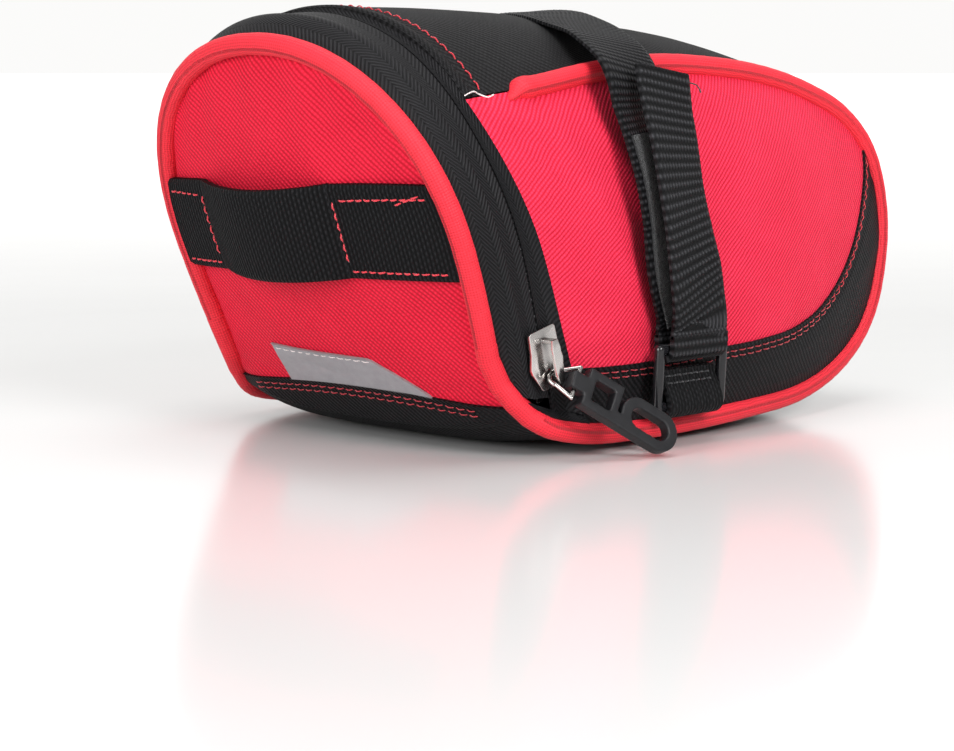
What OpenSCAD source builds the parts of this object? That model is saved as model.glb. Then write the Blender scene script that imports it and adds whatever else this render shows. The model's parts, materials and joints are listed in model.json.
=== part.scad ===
// Saddle bag: a wedge-shaped padded bag that hangs under a bicycle saddle.
// X is the bag's right, Y points to its nose, Z is up. The origin is the middle
// of the flat base. The rear panel is a door that a zip frees round its arch.

/* [Bag] */
// Width across the two bottom seams
bag_w = 108; // [104:1:114]
// Length from the tail of the door to the nose
bag_l = 185; // [180:1:195]
// Height of the crown above the base
bag_h = 101; // [98:1:106]

/* [Fabric] */
// Diameter of the piping
piping_d = 5; // [4.4:0.2:5]
// Diameter of the cord inside the piping
cord_d = 2.8; // [2:0.2:3]
// Thickness of the outer cloth
skin_t = 1.1; // [0.8:0.1:1.2]
// Thickness of the foam behind it
foam_t = 2; // [1:0.2:2.4]
// Thickness of the lining
lining_t = 0.5; // [0.3:0.1:0.6]
// Thickness of the base board
board_t = 1.5; // [1:0.1:2]

/* [Webbing] */
// Width of the strap
strap_w = 19.5; // [18:0.5:20]
// Thickness of the strap
strap_t = 1.3; // [1:0.1:1.4]
// Width of the light loop
loop_w = 22.5; // [20:0.5:25]
// Height of the free part of the light loop above the rear panel
loop_rise = 4.5; // [4:0.5:6]

/* [Hardware] */
// Radius of the strap ring's bars
ring_r = 1.3; // [1.1:0.1:1.4]
// Distance between the strap ring's two long bars
ring_h = 13.5; // [13:0.5:14]
// Length of the zip slider
slider_l = 13.8; // [13:0.2:15]
// Length of the pull
pull_l = 30.5; // [29:0.5:31]

/* [Hidden] */

red = "crimson";
black = "#202022";

// The whole shell follows the three overall sizes.
K = [bag_w / 108, bag_l / 185, bag_h / 101];

// Heights in the arch shared by the door, the zip and the front seam.
arch_z = 48 * K.z;
arch_n = 2.15;
rear_w = 48 * K.x;
rear_h = 44.7 * K.z;
zip_w = 51.2 * K.x;
zip_h = 51.6 * K.z;
front_w = 52.6 * K.x;
front_h = 53 * K.z;
// Height where the side panel's top corner meets the gusset, and the base end of the front seam
corner_z = 80.6 * K.z;
front_base_z = 4.8 * K.z;
// Lowest point of the rear piping and of the door's bottom fold
rear_base_z = 10 * K.z;
fold_z = 5.3 * K.z;

// Zip slider's place and the slope of the straight stretch that it travels
slider_z = 23.2 * K.z;
zip_slope = 0.265;
zip_lean = atan(zip_slope);
// Half of the slit between the two zipper tapes
slit = 0.75;
piping_clear = piping_d / 2 + 0.4;

function mix(a, b, t) = a + (b - a) * t;
function unit(v) = v / norm(v);
function spline(p, s) =
    let (n = len(p), i = min(max(floor(s), 0), n - 2), f = s - i,
         a = p[max(i - 1, 0)], b = p[i], c = p[i + 1], d = p[min(i + 2, n - 1)])
    0.5 * (2 * b + (c - a) * f + (2 * a - 5 * b + 4 * c - d) * f * f
           + (3 * b - a - 3 * c + d) * f * f * f);
function mul(a, b) = [for (i = [0:len(a) - 1]) a[i] * b[i]];

// ---- Leaning planes of the rear piping, the zip and the front seam ----
// The zip and the front seam bow back towards the door in their upper half.
function ease(t) = let (k = min(max(t, 0), 1)) k * k * (3 - 2 * k);
function rear_y(z) = -43.8 * K.y - 0.4 * z;
function zip_y(z) =
    -35.5 * K.y - zip_slope * z - 3.2 * ease((z / K.z - 40) / 38) + 0.5 * ease((z / K.z - 80) / 20);
function front_y(z) =
    -26 * K.y - 0.35 * z - 3.4 * ease((z / K.z - 40) / 38) + 3.9 * ease((z / K.z - 78) / 23);
// How far the door's outline draws in below the arch's centre
function tuck(z) = 4 * K.x * pow(max(arch_z - z, 0) / 36, 1.6);

// Half-width of an arch at a height, and its radius at an angle
function arch_x(z, w, h) =
    z < arch_z ? w : w * pow(max(1 - pow((z - arch_z) / h, arch_n), 0), 1 / arch_n);
function arch_r(a, w, h) =
    a < 0 ? w / cos(a) : pow(pow(cos(a) / w, arch_n) + pow(sin(a) / h, arch_n), -1 / arch_n);
function arch_at(a, w, h) =
    let (b = a > 90 ? 180 - a : a, r = arch_r(b, w, h))
    [(a > 90 ? -1 : 1) * r * cos(b), arch_z + r * sin(b)];
function rear_pt(a) =
    let (p = arch_at(a, rear_w, rear_h)) [p.x - sign(p.x) * tuck(p.y), rear_y(p.y), p.y];
function rear_x(z) = arch_x(z, rear_w, rear_h) - tuck(z);
function rear_side(z) = [rear_x(z), rear_y(z), z];
function front_side(z) = [arch_x(z, front_w, front_h), front_y(z), z];
function angle_of(z, w, h) = atan2(z - arch_z, arch_x(z, w, h));

corner_a = angle_of(corner_z, front_w, front_h);
corner_x = arch_x(corner_z, front_w, front_h);

// ---- Edge seam of the right side: along the top, round the nose, back along the base ----
EDGE = concat([front_side(corner_z)], [for (p = [
    [44.6, -38, 83.2], [45, -18, 86.4], [45.4, 2, 88.2], [45.5, 21, 87.8], [45.3, 41, 86],
    [45, 60, 82.2], [45, 78, 75.5], [45, 90.5, 64.5], [45, 96, 48], [45.5, 93.5, 31],
    [46.5, 86, 19.5], [48.5, 72, 11.2], [51, 53, 6.4], [53.2, 30, 5], [54, 5, 4.2],
    [53.6, -15, 4.2]]) mul(p, K)], [front_side(front_base_z)],
    [for (p = [[51, -38, 6.9], [48.9, -43.2, 9.9]]) mul(p, K)]);
// Crown line in the bag's middle plane, station by station
CROWN = [for (p = [
    [-60.85, 101], [-38, 101.3], [-16, 100.8], [6, 99.8], [27, 98], [47, 95], [66, 90],
    [83, 82.5], [95, 70], [100.5, 50], [98.5, 29], [90, 13], [75, 4], [55, 0.6], [32, 0],
    [5, 0], [-15, 0], [-28, 0.3], [-37, 1.4], [-42.6, 4.4]]) [0, p.x * K.y, p.y * K.z]];
last_s = 19;
front_s = 17;

function edge(s) = spline(EDGE, s);
function crown(s) = spline(CROWN, s);

// ---- Side panel: a patch between the front seam, the top, the nose and the base ----
nose_top_s = 7.5;
nose_base_s = 11;
side_bulge = 7.5;
// The strap pulls the side in where it crosses
strap_u = 0.34;
function press(u) = 1 - 0.4 * exp(-pow((u - strap_u) / 0.13, 2));
function side_base(u) = edge(mix(front_s, nose_base_s, u));
function side_top(u) = edge(mix(0, nose_top_s, u));
function side_nose(v) = edge(mix(nose_base_s, nose_top_s, v));
function side_rear(v) = front_side(mix(front_base_z, corner_z, v));
function coons(b, t, l, r, u, v, b0, b1, t0, t1) =
    mix(b, t, v) + mix(l, r, u) - mix(mix(b0, b1, u), mix(t0, t1, u), v);
function puff(u, v) = pow(max(sin(180 * u) * sin(180 * v), 0), 0.85);
function side_pt(u, v) =
    coons(side_base(u), side_top(u), side_rear(v), side_nose(v), u, v,
          side_base(0), side_base(1), side_top(0), side_top(1))
    + [side_bulge * press(u) * puff(u, v), 0, 0];
// Share of the side's height where the red and black cloth meet
SEAM_V = [0.2, 0.2, 0.2, 0.2, 0.21, 0.22, 0.245, 0.31, 0.44, 0.68, 0.93];
function seam_v(u) = spline(SEAM_V, u * 10);

// ---- Wrapping panel: across the bag from edge to edge at each station ----
function lift(q) =
    let (a = mix(90, corner_a, abs(q)), p = arch_at(a, front_w, front_h))
    [p.x / corner_x, (p.y - corner_z) / (arch_z + front_h - corner_z)];
function flatness(s) = min(max((s - 10.5) / 2.5, 0), 1);
function wrap_pt(s, q) =
    let (e = edge(s), c = crown(s), f = flatness(s), l = lift(q),
         x = mix(l.x, abs(q), f), h = mix(l.y, 1 - pow(q, 4), f))
    [sign(q) * e.x * x, mix(e.y, c.y, h), mix(e.z, c.z, h)];

// ---- Gusset: f runs from the zip to the front seam, or from the zip to the rear piping ----
function tape_pt(a, f, y0, y1, w0, h0, w1, h1, g) =
    let (b = a > 90 ? 180 - a : a, r = mix(arch_r(b, w0, h0), arch_r(b, w1, h1), g),
         z = arch_z + r * sin(b), x = r * cos(b) - (w1 < w0 ? g * tuck(z) : 0))
    [(a > 90 ? -1 : 1) * x, mix(y0(z), y1(z), f), z];
function body_tape(a, f) =
    tape_pt(a, f, function (z) zip_y(z), function (z) front_y(z), zip_w, zip_h, front_w, front_h,
            pow(max(f - 0.45, 0) / 0.55, 2.5));
function door_tape(a, f) =
    tape_pt(a, f, function (z) zip_y(z), function (z) rear_y(z), zip_w, zip_h, rear_w, rear_h,
            pow(max(f - 0.45, 0) / 0.55, 1.4));
function zip_pt(a) = body_tape(a, 0);
// Share of the door side of the gusset at which its tape stops short of the piping
function door_f(a) = let (z = door_tape(a, 0.8).z) 1 - piping_clear / (zip_y(z) - rear_y(z));

// ---- Rear face ----
face_out = unit([0, -1, -0.4]);
shoulder_a = 45;
shoulder_z = arch_at(shoulder_a, rear_w, rear_h).y;
rear_bulge = 5;
function fold_line(u) =
    let (q = 2 * u - 1, z = mix(fold_z, rear_base_z, pow(abs(q), 3)))
    [q * (rear_w - tuck(z)), rear_y(z), z];
function mirror_x(p) = [-p.x, p.y, p.z];
function rear_face(u, v) =
    let (z = mix(rear_base_z, shoulder_z, v), r = rear_side(z),
         t = rear_pt(mix(180 - shoulder_a, shoulder_a, u)), c = rear_side(shoulder_z))
    coons(fold_line(u), t, mirror_x(r), r, u, v, fold_line(0), fold_line(1), mirror_x(c), c)
    + face_out * rear_bulge * puff(u, v);
// The face drawn in so that its outline lies a margin m inside the door's
function rear_in(p, m) =
    let (dz = max(p.z - arch_z, 0),
         k = 1 - m / (dz > 0 ? arch_r(atan2(dz, abs(p.x)), rear_w, rear_h) : rear_x(p.z)))
    [p.x * k, p.y - 0.4 * (k - 1) * dz, p.z + dz * (k - 1)];
function rear_seam_v(u) = 0.1 - 0.08 * pow(abs(2 * u - 1), 2.5);

// ---- Solids from grids of points ----
function grid(f, nu, nv, u0 = 0, u1 = 1, v0 = 0, v1 = 1) =
    [for (i = [0:nu]) [for (j = [0:nv]) f(mix(u0, u1, i / nu), mix(v0, v1, j / nv))]];
function grid_normal(g, i, j) =
    let (m = len(g) - 1, n = len(g[0]) - 1)
    unit(cross(g[min(i + 1, m)][j] - g[max(i - 1, 0)][j],
               g[i][min(j + 1, n)] - g[i][max(j - 1, 0)]));
function layer(g, d) =
    [for (i = [0:len(g) - 1]) for (j = [0:len(g[0]) - 1]) g[i][j] - d * grid_normal(g, i, j)];
function quad(a, b, c, d) = [[a, b, c], [a, c, d]];
function flat1(l) = [for (a = l) for (b = a) b];

// A cloth sheet between two depths under the grid's surface
module sheet(g, d0, d1) {
    m = len(g);
    n = len(g[0]);
    o = m * n;
    outer = flat1([for (i = [0:m - 2]) for (j = [0:n - 2])
        quad(i * n + j, i * n + j + 1, (i + 1) * n + j + 1, (i + 1) * n + j)]);
    inner = flat1([for (i = [0:m - 2]) for (j = [0:n - 2])
        quad(o + i * n + j, o + (i + 1) * n + j, o + (i + 1) * n + j + 1, o + i * n + j + 1)]);
    rim_j = flat1([for (i = [0:m - 2]) for (e = [0, n - 1])
        let (a = i * n + e, b = a + n)
        e == 0 ? quad(a, b, o + b, o + a) : quad(b, a, o + a, o + b)]);
    rim_i = flat1([for (j = [0:n - 2]) for (e = [0, m - 1])
        let (a = e * n + j, b = a + 1)
        e == 0 ? quad(b, a, o + a, o + b) : quad(a, b, o + b, o + a)]);
    polyhedron(concat(layer(g, d0), layer(g, d1)), concat(outer, inner, rim_j, rim_i),
               convexity = 8);
}

// Rings of points round a path; ref is never parallel to the path
function ring_at(path, k, r, sides, ref) =
    let (t = unit(path[min(k + 1, len(path) - 1)] - path[max(k - 1, 0)]),
         e1 = unit(cross(ref, t)), e2 = cross(t, e1))
    [for (i = [0:sides - 1]) path[k] + r * (cos(360 * i / sides) * e1 + sin(360 * i / sides) * e2)];

module cord(path, r, sides, ref) {
    n = len(path);
    pts = flat1([for (k = [0:n - 1]) ring_at(path, k, r, sides, ref)]);
    walls = flat1([for (k = [0:n - 2]) for (i = [0:sides - 1])
        let (a = k * sides + i, b = k * sides + (i + 1) % sides)
        quad(a, a + sides, b + sides, b)]);
    caps = [[for (i = [0:sides - 1]) i], [for (i = [sides - 1:-1:0]) (n - 1) * sides + i]];
    polyhedron(pts, concat(walls, caps), convexity = 8);
}

// The piping's cloth round its cord
module sleeve(path, r, hole, sides, ref) {
    n = len(path);
    o = n * sides;
    pts = concat(flat1([for (k = [0:n - 1]) ring_at(path, k, r, sides, ref)]),
                 flat1([for (k = [0:n - 1]) ring_at(path, k, hole, sides, ref)]));
    walls = flat1([for (k = [0:n - 2]) for (i = [0:sides - 1])
        let (a = k * sides + i, b = k * sides + (i + 1) % sides)
        concat(quad(a, a + sides, b + sides, b), quad(o + a, o + b, o + b + sides, o + a + sides))]);
    ends = flat1([for (i = [0:sides - 1])
        let (j = (i + 1) % sides, e = (n - 1) * sides)
        concat(quad(i, j, o + j, o + i), quad(e + j, e + i, o + e + i, o + e + j))]);
    polyhedron(pts, concat(walls, ends), convexity = 8);
}

// ---- Shell of the bag ----
foam_d = skin_t + 0.3;
lining_d = foam_d + foam_t + 0.3;
// Margins from the seams, as shares of a panel's height, length and half-width
function edge_v(u) = piping_clear / norm(side_top(u) - side_base(u));
edge_u = piping_clear / 125;
function edge_q(s) = 0.06 * piping_clear / norm(wrap_pt(s, 1) - wrap_pt(s, 0.94));
// The inner layers stop this many margins from the seams
deep = 2.1;
// The side panel's rounded corners at the nose draw in towards its middle
side_mid = [50 * K.x, 56 * K.y, 46 * K.z];
function side_in(u, v, k = 1) =
    mix(side_pt(u, v), side_mid, 0.06 * k * pow(u, 8) * pow(abs(2 * v - 1), 8));

// Share of the full margin at a station: the top seam has no piping in its first stretch
piping_s = 0.78;
function margin_at(s) = mix(0.15, 1, min(max((s - 0.35) / 0.35, 0), 1));
// The side's cloth ends short of the nose, where its seam turns fastest
nose_u = 0.945;
function nose_gain(u) = 1 + 2 * ease((u - 0.6) / 0.4);
module side_panel() {
    color(red) sheet(grid(function (u, k)
        side_in(u, mix(seam_v(u) + 0.003,
                       1 - edge_v(u) * nose_gain(u) * margin_at(u * nose_top_s), k)),
        24, 8, 0.004, nose_u), 0, skin_t);
}

module side_lower() {
    color(black) sheet(grid(function (u, k)
        side_in(u, mix(edge_v(u) * nose_gain(u), seam_v(u) - 0.002, k)),
        24, 4, 0.004, nose_u), 0, skin_t);
}

module side_layer(d, t, tone) {
    m = deep + (d - foam_d) * 0.4;
    color(tone) sheet(grid(function (u, k) side_in(u, mix(m * edge_v(u), 1 - m * edge_v(u), k), 2),
                           20, 7, m * edge_u, 1 - m * edge_u), d, d + t);
}

module wrap_layer(s0, s1, m, ns, nq, d, t, tone) {
    color(tone) sheet(grid(function (s, k) wrap_pt(s, mix(1, -1, k) * (1 - m * edge_q(s))),
                           ns, nq, s0, s1), d, d + t);
}

nose_s = 10.6;
module top_panel() {
    color(black) sheet(grid(function (s, k) wrap_pt(s, mix(1, -1, k) * (1 - edge_q(s) * margin_at(s))),
                            30, 14, 0.06, nose_s - 0.01), 0, skin_t);
}
module bottom_panel() { wrap_layer(nose_s + 0.01, last_s, 1, 22, 8, 0, skin_t, black); }
module top_foam() { wrap_layer(0.3, nose_s, deep, 26, 12, foam_d, foam_t, "dimgray"); }
module top_lining() { wrap_layer(0.3, nose_s, deep * 1.4, 26, 12, lining_d, lining_t, "gray"); }
module base_lining() {
    wrap_layer(nose_s + 0.35, last_s - 0.6, deep * 1.4, 16, 8, lining_d, lining_t, "gray");
}

// Stiff board that keeps the base flat
board_y0 = -26 * K.y;
board_y1 = 38 * K.y;
board_w = 28 * K.x;
board_z = skin_t + 0.75;
module base_board() {
    color("dimgray") translate([0, 0, board_z]) linear_extrude(board_t) offset(6, $fn = 32)
        translate([6 - board_w, board_y0 + 6]) square([2 * board_w - 12, board_y1 - board_y0 - 12]);
}

// ---- Piping ----
side_path = [for (i = [0:57]) edge(mix(piping_s, last_s, i / 57))];
// The door's piping turns forward at the bottom to meet the end of the side piping.
turn = [[48.7, -43.6, 10.4], [47.6, -46.5, 13.2], [46.2, -49.7, 17.3]];
rear_path = concat([for (p = turn) mul(p, K)], [for (i = [0:40]) rear_pt(mix(-27, 207, i / 40))],
                   [for (i = [2:-1:0]) mirror_x(mul(turn[i], K))]);
module piping() { color(red) sleeve(side_path, piping_d / 2, cord_d / 2 + 0.1, 8, [1, 0, 0]); }
module piping_cord() { color("white") cord(side_path, cord_d / 2, 6, [1, 0, 0]); }
module rear_piping() { color(red) sleeve(rear_path, piping_d / 2, cord_d / 2 + 0.1, 8, face_out); }
module rear_piping_cord() { color("white") cord(rear_path, cord_d / 2, 6, face_out); }

// ---- Zip and gusset ----
body_a = -36.4;
door_a = -33.5;
tape_t = 0.9;
coil_r = 0.8;
function slit_f(y0, y1) = slit / abs(y1 - y0);
body_f0 = slit_f(zip_y(arch_z), front_y(arch_z));
door_f0 = slit_f(zip_y(arch_z), rear_y(arch_z));
module zip_tape_body() {
    color(black) sheet(grid(function (a, k) body_tape(a, mix(0.97, body_f0, k)),
                            44, 2, body_a, 180 - body_a), 0, tape_t);
}
module zip_tape_door() {
    color(black) sheet(grid(function (a, k) door_tape(a, mix(door_f0, door_f(a), k)),
                            44, 6, door_a, 180 - door_a), 0, tape_t);
}
// One side of the coil, inside the tape
function coil_path(a0, dy) =
    [for (i = [0:40]) let (p = zip_pt(mix(a0, 180 - a0, i / 40)), c = [0, p.y, arch_z],
                           r = norm(p - c))
        c + (p - c) * (r - tape_t - coil_r - 0.2) / r + [0, dy, 0]];
coil_a = -30;
module zip_coil(side) {
    color("dimgray") cord(coil_path(coil_a, side * (slit + coil_r)), coil_r, 6, [0, 1, 0.3]);
}
module zip_coil_body() { zip_coil(1); }
module zip_coil_door() { zip_coil(-1); }

module gusset_end() {
    color(black) sheet(grid(function (k, f)
        door_tape(mix(mix(-36.6, -34.9, f / 0.35), door_a - 0.6, k), f),
        3, 6, 0, 1, 0.35, 0.02), tape_t, 0);
}

// Turned edge of the gusset lying on the top panel's rear edge
module gusset_lip() {
    color(black) sheet(grid(function (s, k) wrap_pt(s, mix(0.93, -0.93, k)), 1, 20, 0.02, 0.2),
                       -0.7, -0.15);
}

// Metal stops that close the zip's two ends
module zip_stops() {
    color("silver") for (side = [-1, 1]) mirror([side < 0 ? 1 : 0, 0, 0])
        translate([zip_w - tape_t - 2.2, zip_y(rear_base_z + 3.6), rear_base_z + 3.6])
            rotate([zip_lean, 0, 0]) cube([1.6, 3.4, 1.6], center = true);
}

// ---- Stitching ----
thread = 0.5;
module stitch_row(g) { color(red) sheet(g, -0.45, -0.12); }
module top_stitching() {
    stitch_row(grid(function (s, k) wrap_pt(s, mix(0.9, -0.9, k)), 1, 24, 0.38, 0.38 + thread / 20));
}
module side_stitching() {
    stitch_row(grid(function (k, u) side_pt(u, seam_v(u) - mix(0.016, 0.024, k)),
                    1, 22, 0, 1, 0.02, 0.9));
}
module rear_stitching() {
    stitch_row(grid(function (k, u) rear_face(u, rear_seam_v(u) - mix(0.012, 0.018, k)),
                    1, 20, 0, 1, 0.1, 0.9));
}

// ---- Door ----
module rear_panel() {
    color(red) sheet(grid(function (u, k)
        rear_in(rear_face(u, mix(rear_seam_v(u) + 0.002, 0.995, k)), piping_clear),
        16, 14, 0.008, 0.992), 0, skin_t);
}
module rear_lower_panel() {
    color(black) sheet(grid(function (u, k) rear_face(u, mix(0, rear_seam_v(u) - 0.002, k)),
                            16, 2, 0.06, 0.94), 0, skin_t);
}
module rear_layer(d, t, m, tone) {
    color(tone) sheet(grid(function (u, v) rear_in(rear_face(u, v), m), 16, 12,
                           0.012, 0.988, 0.06, 0.99), d, d + t);
}

// ---- Light loop: sewn down at both ends, free between ----
loop_v = 0.545;
function loop_half(u) =
    loop_w * cos(atan(0.4)) / 2
    / mix(arch_z + rear_h - fold_z, shoulder_z - rear_base_z, pow(2 * u - 1, 2));
free_u0 = 0.2;
free_u1 = 0.66;
function loop_mid(u) = loop_v + 0.035 * pow(2 * u - 1, 2) + 0.008 * (2 * u - 1);
function loop_height(u) =
    u < free_u0 || u > free_u1 ? 0
        : loop_rise * pow(sin(180 * (u - free_u0) / (free_u1 - free_u0)), 0.8);
function loop_pt(u, k) =
    rear_face(u, loop_mid(u) + loop_half(u) * k) + face_out * loop_height(u);
webbing_t = 1.4;
module light_loop() {
    color(black) sheet(grid(function (u, k) loop_pt(u, k), 26, 3, 0.04, 0.96, -1, 1),
                       -webbing_t - 0.2, -0.2);
}
stitch_t = webbing_t + 0.2;
module stitch_box(u0, u1) {
    w = thread / 96;
    h = 1.6 * thread / loop_w;
    color(red) {
        for (k = [-0.8, 0.8])
            sheet(grid(function (u, j) loop_pt(u, j), 6, 1, u0, u1, k - h, k + h),
                  -stitch_t - 0.7, -stitch_t - 0.4);
        for (u = [u0, u1])
            sheet(grid(function (a, j) loop_pt(a, j), 1, 4, u - w, u + w, -0.8 + h * 1.2, 0.8 - h * 1.2),
                  -stitch_t - 0.7, -stitch_t - 0.4);
    }
}
module loop_stitching() {
    stitch_box(0.065, 0.185);
    stitch_box(0.675, 0.935);
}

// Reflective patch, tucked into the lower seam
function patch_pt(i, k) =
    let (u = mix(mix(0.244, 0.231, k), mix(0.79, 0.6, k), i))
    rear_face(u, mix(rear_seam_v(u) + 0.006, mix(0.2, 0.192, i), k));
module reflective_patch() {
    color("silver") sheet(grid(function (i, k) patch_pt(i, k), 8, 3), -0.55, -0.1);
}

// ---- Strap: up from the left, over the crown, down to the ring, and back up ----
ring_y = -0.8 * K.y;
low_bar = [60.2 * K.x, ring_y, 9.8 * K.z];
ring_lean = 3;
high_bar = low_bar + ring_h * [sin(ring_lean), 0, cos(ring_lean)];
bar_clear = 0.35;
fold_r = ring_r + bar_clear;
leg = fold_r + strap_t / 2;
stub = 2.2;

// Middle line of the strap from its left anchor to the ring
BAND = concat([for (p = [
    [-57.6, 6, 13], [-60, 6, 30], [-60.2, 7, 48], [-57.8, 9, 66], [-52.8, 11, 82],
    [-47.6, 12, 91.4], [-38, 12.6, 96.9], [-24, 13, 100.4], [-8, 11.5, 101.8],
    [8, 5.5, 101.9], [22, -1.4, 100.2], [34, -6.4, 97.4], [43.6, -10.4, 93.6], [51.8, -13.2, 86.9],
    [54.1, -13.6, 79], [56.7, -12.6, 71], [58.7, -11.2, 63], [59.8, -9.6, 54], [60, -7.2, 43]])
    mul(p, K)], [for (rise = [8, 5, stub + 0.3]) high_bar + [-leg, 0, rise]]);
// Middle line of the tail, from the ring to its cut end
TAIL = concat([for (rise = [stub + 0.3, 4.6, 7]) high_bar + [leg, 0, rise]], [for (p = [
    [65.2, -4.6, 40], [64.8, -6.8, 50], [63.6, -8.2, 60], [61.6, -8.4, 70], [58.6, -7.8, 79],
    [56.2, -6.8, 87]]) mul(p, K)]);
band_n = len(BAND) - 1;
tail_n = len(TAIL) - 1;

// Outward direction of a strap that lies on the bag: it leans to the tail on the crown and to
// the nose on the sides
function lean(p) =
    let (z = p.z / K.z)
    (p.x > 0 ? 0.2 : 0.12) * ease((z - 28) / 26) * ease((94 - z) / 8) - 0.12 * ease((z - 93) / 5);
function bag_out(p) = unit([p.x / 55, lean(p), max(p.z - 50, 0) / 30]);
function strap_at(path, s, k) =
    let (p = spline(path, s),
         t = unit(spline(path, min(s + 0.05, len(path) - 1)) - spline(path, max(s - 0.05, 0))))
    p + unit(cross(bag_out(p), t)) * k;
module strap(path, rows, s0, s1, w, d0, d1) {
    sheet(grid(function (s, k) strap_at(path, s, k), rows, 2, s0, s1, -w / 2, w / 2), d0, d1);
}
tape_w = 16;
pile_t = 0.5;
module strap_band() { color(black) strap(BAND, 50, 0, band_n, strap_w, -strap_t / 2, strap_t / 2); }
module strap_tail() { color(black) strap(TAIL, 16, 0, tail_n, strap_w, -strap_t / 2, strap_t / 2); }
module loop_tape() {
    color("dimgray") strap(BAND, 14, band_n - 6.2, band_n - 2, tape_w,
                           -strap_t / 2 - pile_t - 0.12, -strap_t / 2 - 0.12);
}
module hook_tape() {
    color("dimgray") strap(TAIL, 10, 2.4, tail_n - 0.1, tape_w, strap_t / 2 + 0.12,
                           strap_t / 2 + pile_t + 0.12);
}
// Where the strap's far end is sewn into the left bottom seam
module strap_anchor() {
    color(black) translate([-57.2 * K.x, 6 * K.y, 9.6 * K.z])
        cube([strap_t, strap_w, 5.4], center = true);
}

// The turn of the strap round the ring's upper bar
module half_tube(r0, r1, w) {
    rotate([90, 0, 0]) difference() {
        cylinder(r = r1, h = w, center = true, $fn = 48);
        cylinder(r = r0, h = w + 2, center = true, $fn = 48);
        translate([0, r1, 0]) cube([4 * r1, 2 * r1, w + 4], center = true);
    }
}
module strap_fold() {
    color(black) translate(high_bar) {
        half_tube(fold_r, fold_r + strap_t, strap_w);
        for (side = [-1, 1])
            translate([side * leg, 0, stub / 2]) cube([strap_t, strap_w, stub], center = true);
    }
}

// Tab that holds the ring's lower bar: two legs that meet above it
tab_t = 1.2;
tab_h = 8.4;
tab_w = strap_w - 0.5;
sewn = 1.6;
module ring_tab() {
    r = ring_r + 0.3;
    color(black) translate(low_bar) {
        half_tube(r, r + tab_t, tab_w);
        rotate([90, 0, 0]) linear_extrude(tab_w, center = true) {
            polygon([[-r - tab_t, -2], [-r, 0], [-r, tab_h], [-r - tab_t, tab_h]]);
            polygon([[r, 0], [r + tab_t, 0], [tab_t - r, tab_h - sewn], [tab_t - r, tab_h],
                     [-r, tab_h], [-r, tab_h - sewn]]);
        }
    }
}

module rod(a, b, r) {
    v = b - a;
    translate(a) rotate([0, acos(v.z / norm(v)), atan2(v.y, v.x)])
        cylinder(r = r, h = norm(v), $fn = 32);
}
module knob(p, r) { translate(p) sphere(r = r, $fn = 32); }
module strap_ring() {
    half = strap_w / 2 + 0.35 + ring_r;
    corners = [[0, -half, 0], [0, half, 0], [0, half, ring_h], [0, -half, ring_h]];
    color(black) translate(low_bar) rotate([0, ring_lean, 0])
        for (i = [0:3]) {
            rod(corners[i], corners[(i + 1) % 4], ring_r);
            knob(corners[i], ring_r);
        }
}

// ---- Zip slider, its ring and its pull ----
plate_t = 0.9;
// Gaps between the tape and the slider's outer plate, and between the coil and its inner one
plate_gap = 0.8;
under_gap = 0.45;
slider_at = [zip_w, zip_y(slider_z), slider_z];
half_l = slider_l / 2;
bridge_w = 2.4;
foot_w = 1.6;
bridge_t = 0.9;
bridge_h = 5.3;
leg_z = -4.9;
top_z = 4.2;
module slider_outline() {
    offset(0.8, $fn = 32) offset(-0.8) polygon([
        [-4.2, half_l], [4.2, half_l], [4.4, half_l - 4.6], [5.2, half_l - 8.2], [5, 4.4 - half_l],
        [2.8, -half_l], [-2.8, -half_l], [-5, 4.4 - half_l], [-5.2, half_l - 8.2],
        [-4.4, half_l - 4.6]]);
}
// Local frame of the slider: Z along its travel, X outward
module zip_slider() {
    low = -tape_t - 2 * coil_r - 0.2 - under_gap;
    color("silver") translate(slider_at) rotate([zip_lean, 0, 0]) {
        translate([plate_gap, 0, 0]) rotate([90, 0, 90]) linear_extrude(plate_t) slider_outline();
        translate([low - plate_t, 0, 0]) rotate([90, 0, 90]) linear_extrude(plate_t) slider_outline();
        translate([low - 0.1, -0.45, 3.2 - half_l]) cube([plate_gap - low + 0.2, 0.9, 4.5]);
        for (z = [leg_z, top_z]) translate([plate_gap + plate_t - 0.2, -foot_w / 2, z - bridge_t / 2])
            cube([bridge_h - plate_gap - plate_t, foot_w, bridge_t]);
        translate([bridge_h - bridge_t, 0, 0]) rotate([90, 0, 90]) linear_extrude(bridge_t) bridge_bar();
    }
}
module bridge_bar() {
    z0 = leg_z - bridge_t / 2;
    z1 = top_z + bridge_t / 2;
    polygon([[-foot_w / 2, z0], [foot_w / 2, z0], [bridge_w / 2, z0 + 3], [bridge_w / 2, z1 - 2],
             [foot_w / 2, z1], [-foot_w / 2, z1], [-bridge_w / 2, z1 - 2], [-bridge_w / 2, z0 + 3]]);
}

ring_dir = unit([0.79, 0.57, -0.245]);
pull_dir = unit([0.346, 0.779, -0.524]);
pin_dir = unit(cross(ring_dir, pull_dir));
bend_r = 1.9;
wire_r = 0.5;
ring_arm = 4.2;
function on_slider(x, y, z) =
    slider_at + [x, y * cos(zip_lean) - z * sin(zip_lean), y * sin(zip_lean) + z * cos(zip_lean)];
ring_mid = on_slider(3.9, 0.13, leg_z + 0.48);

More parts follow.
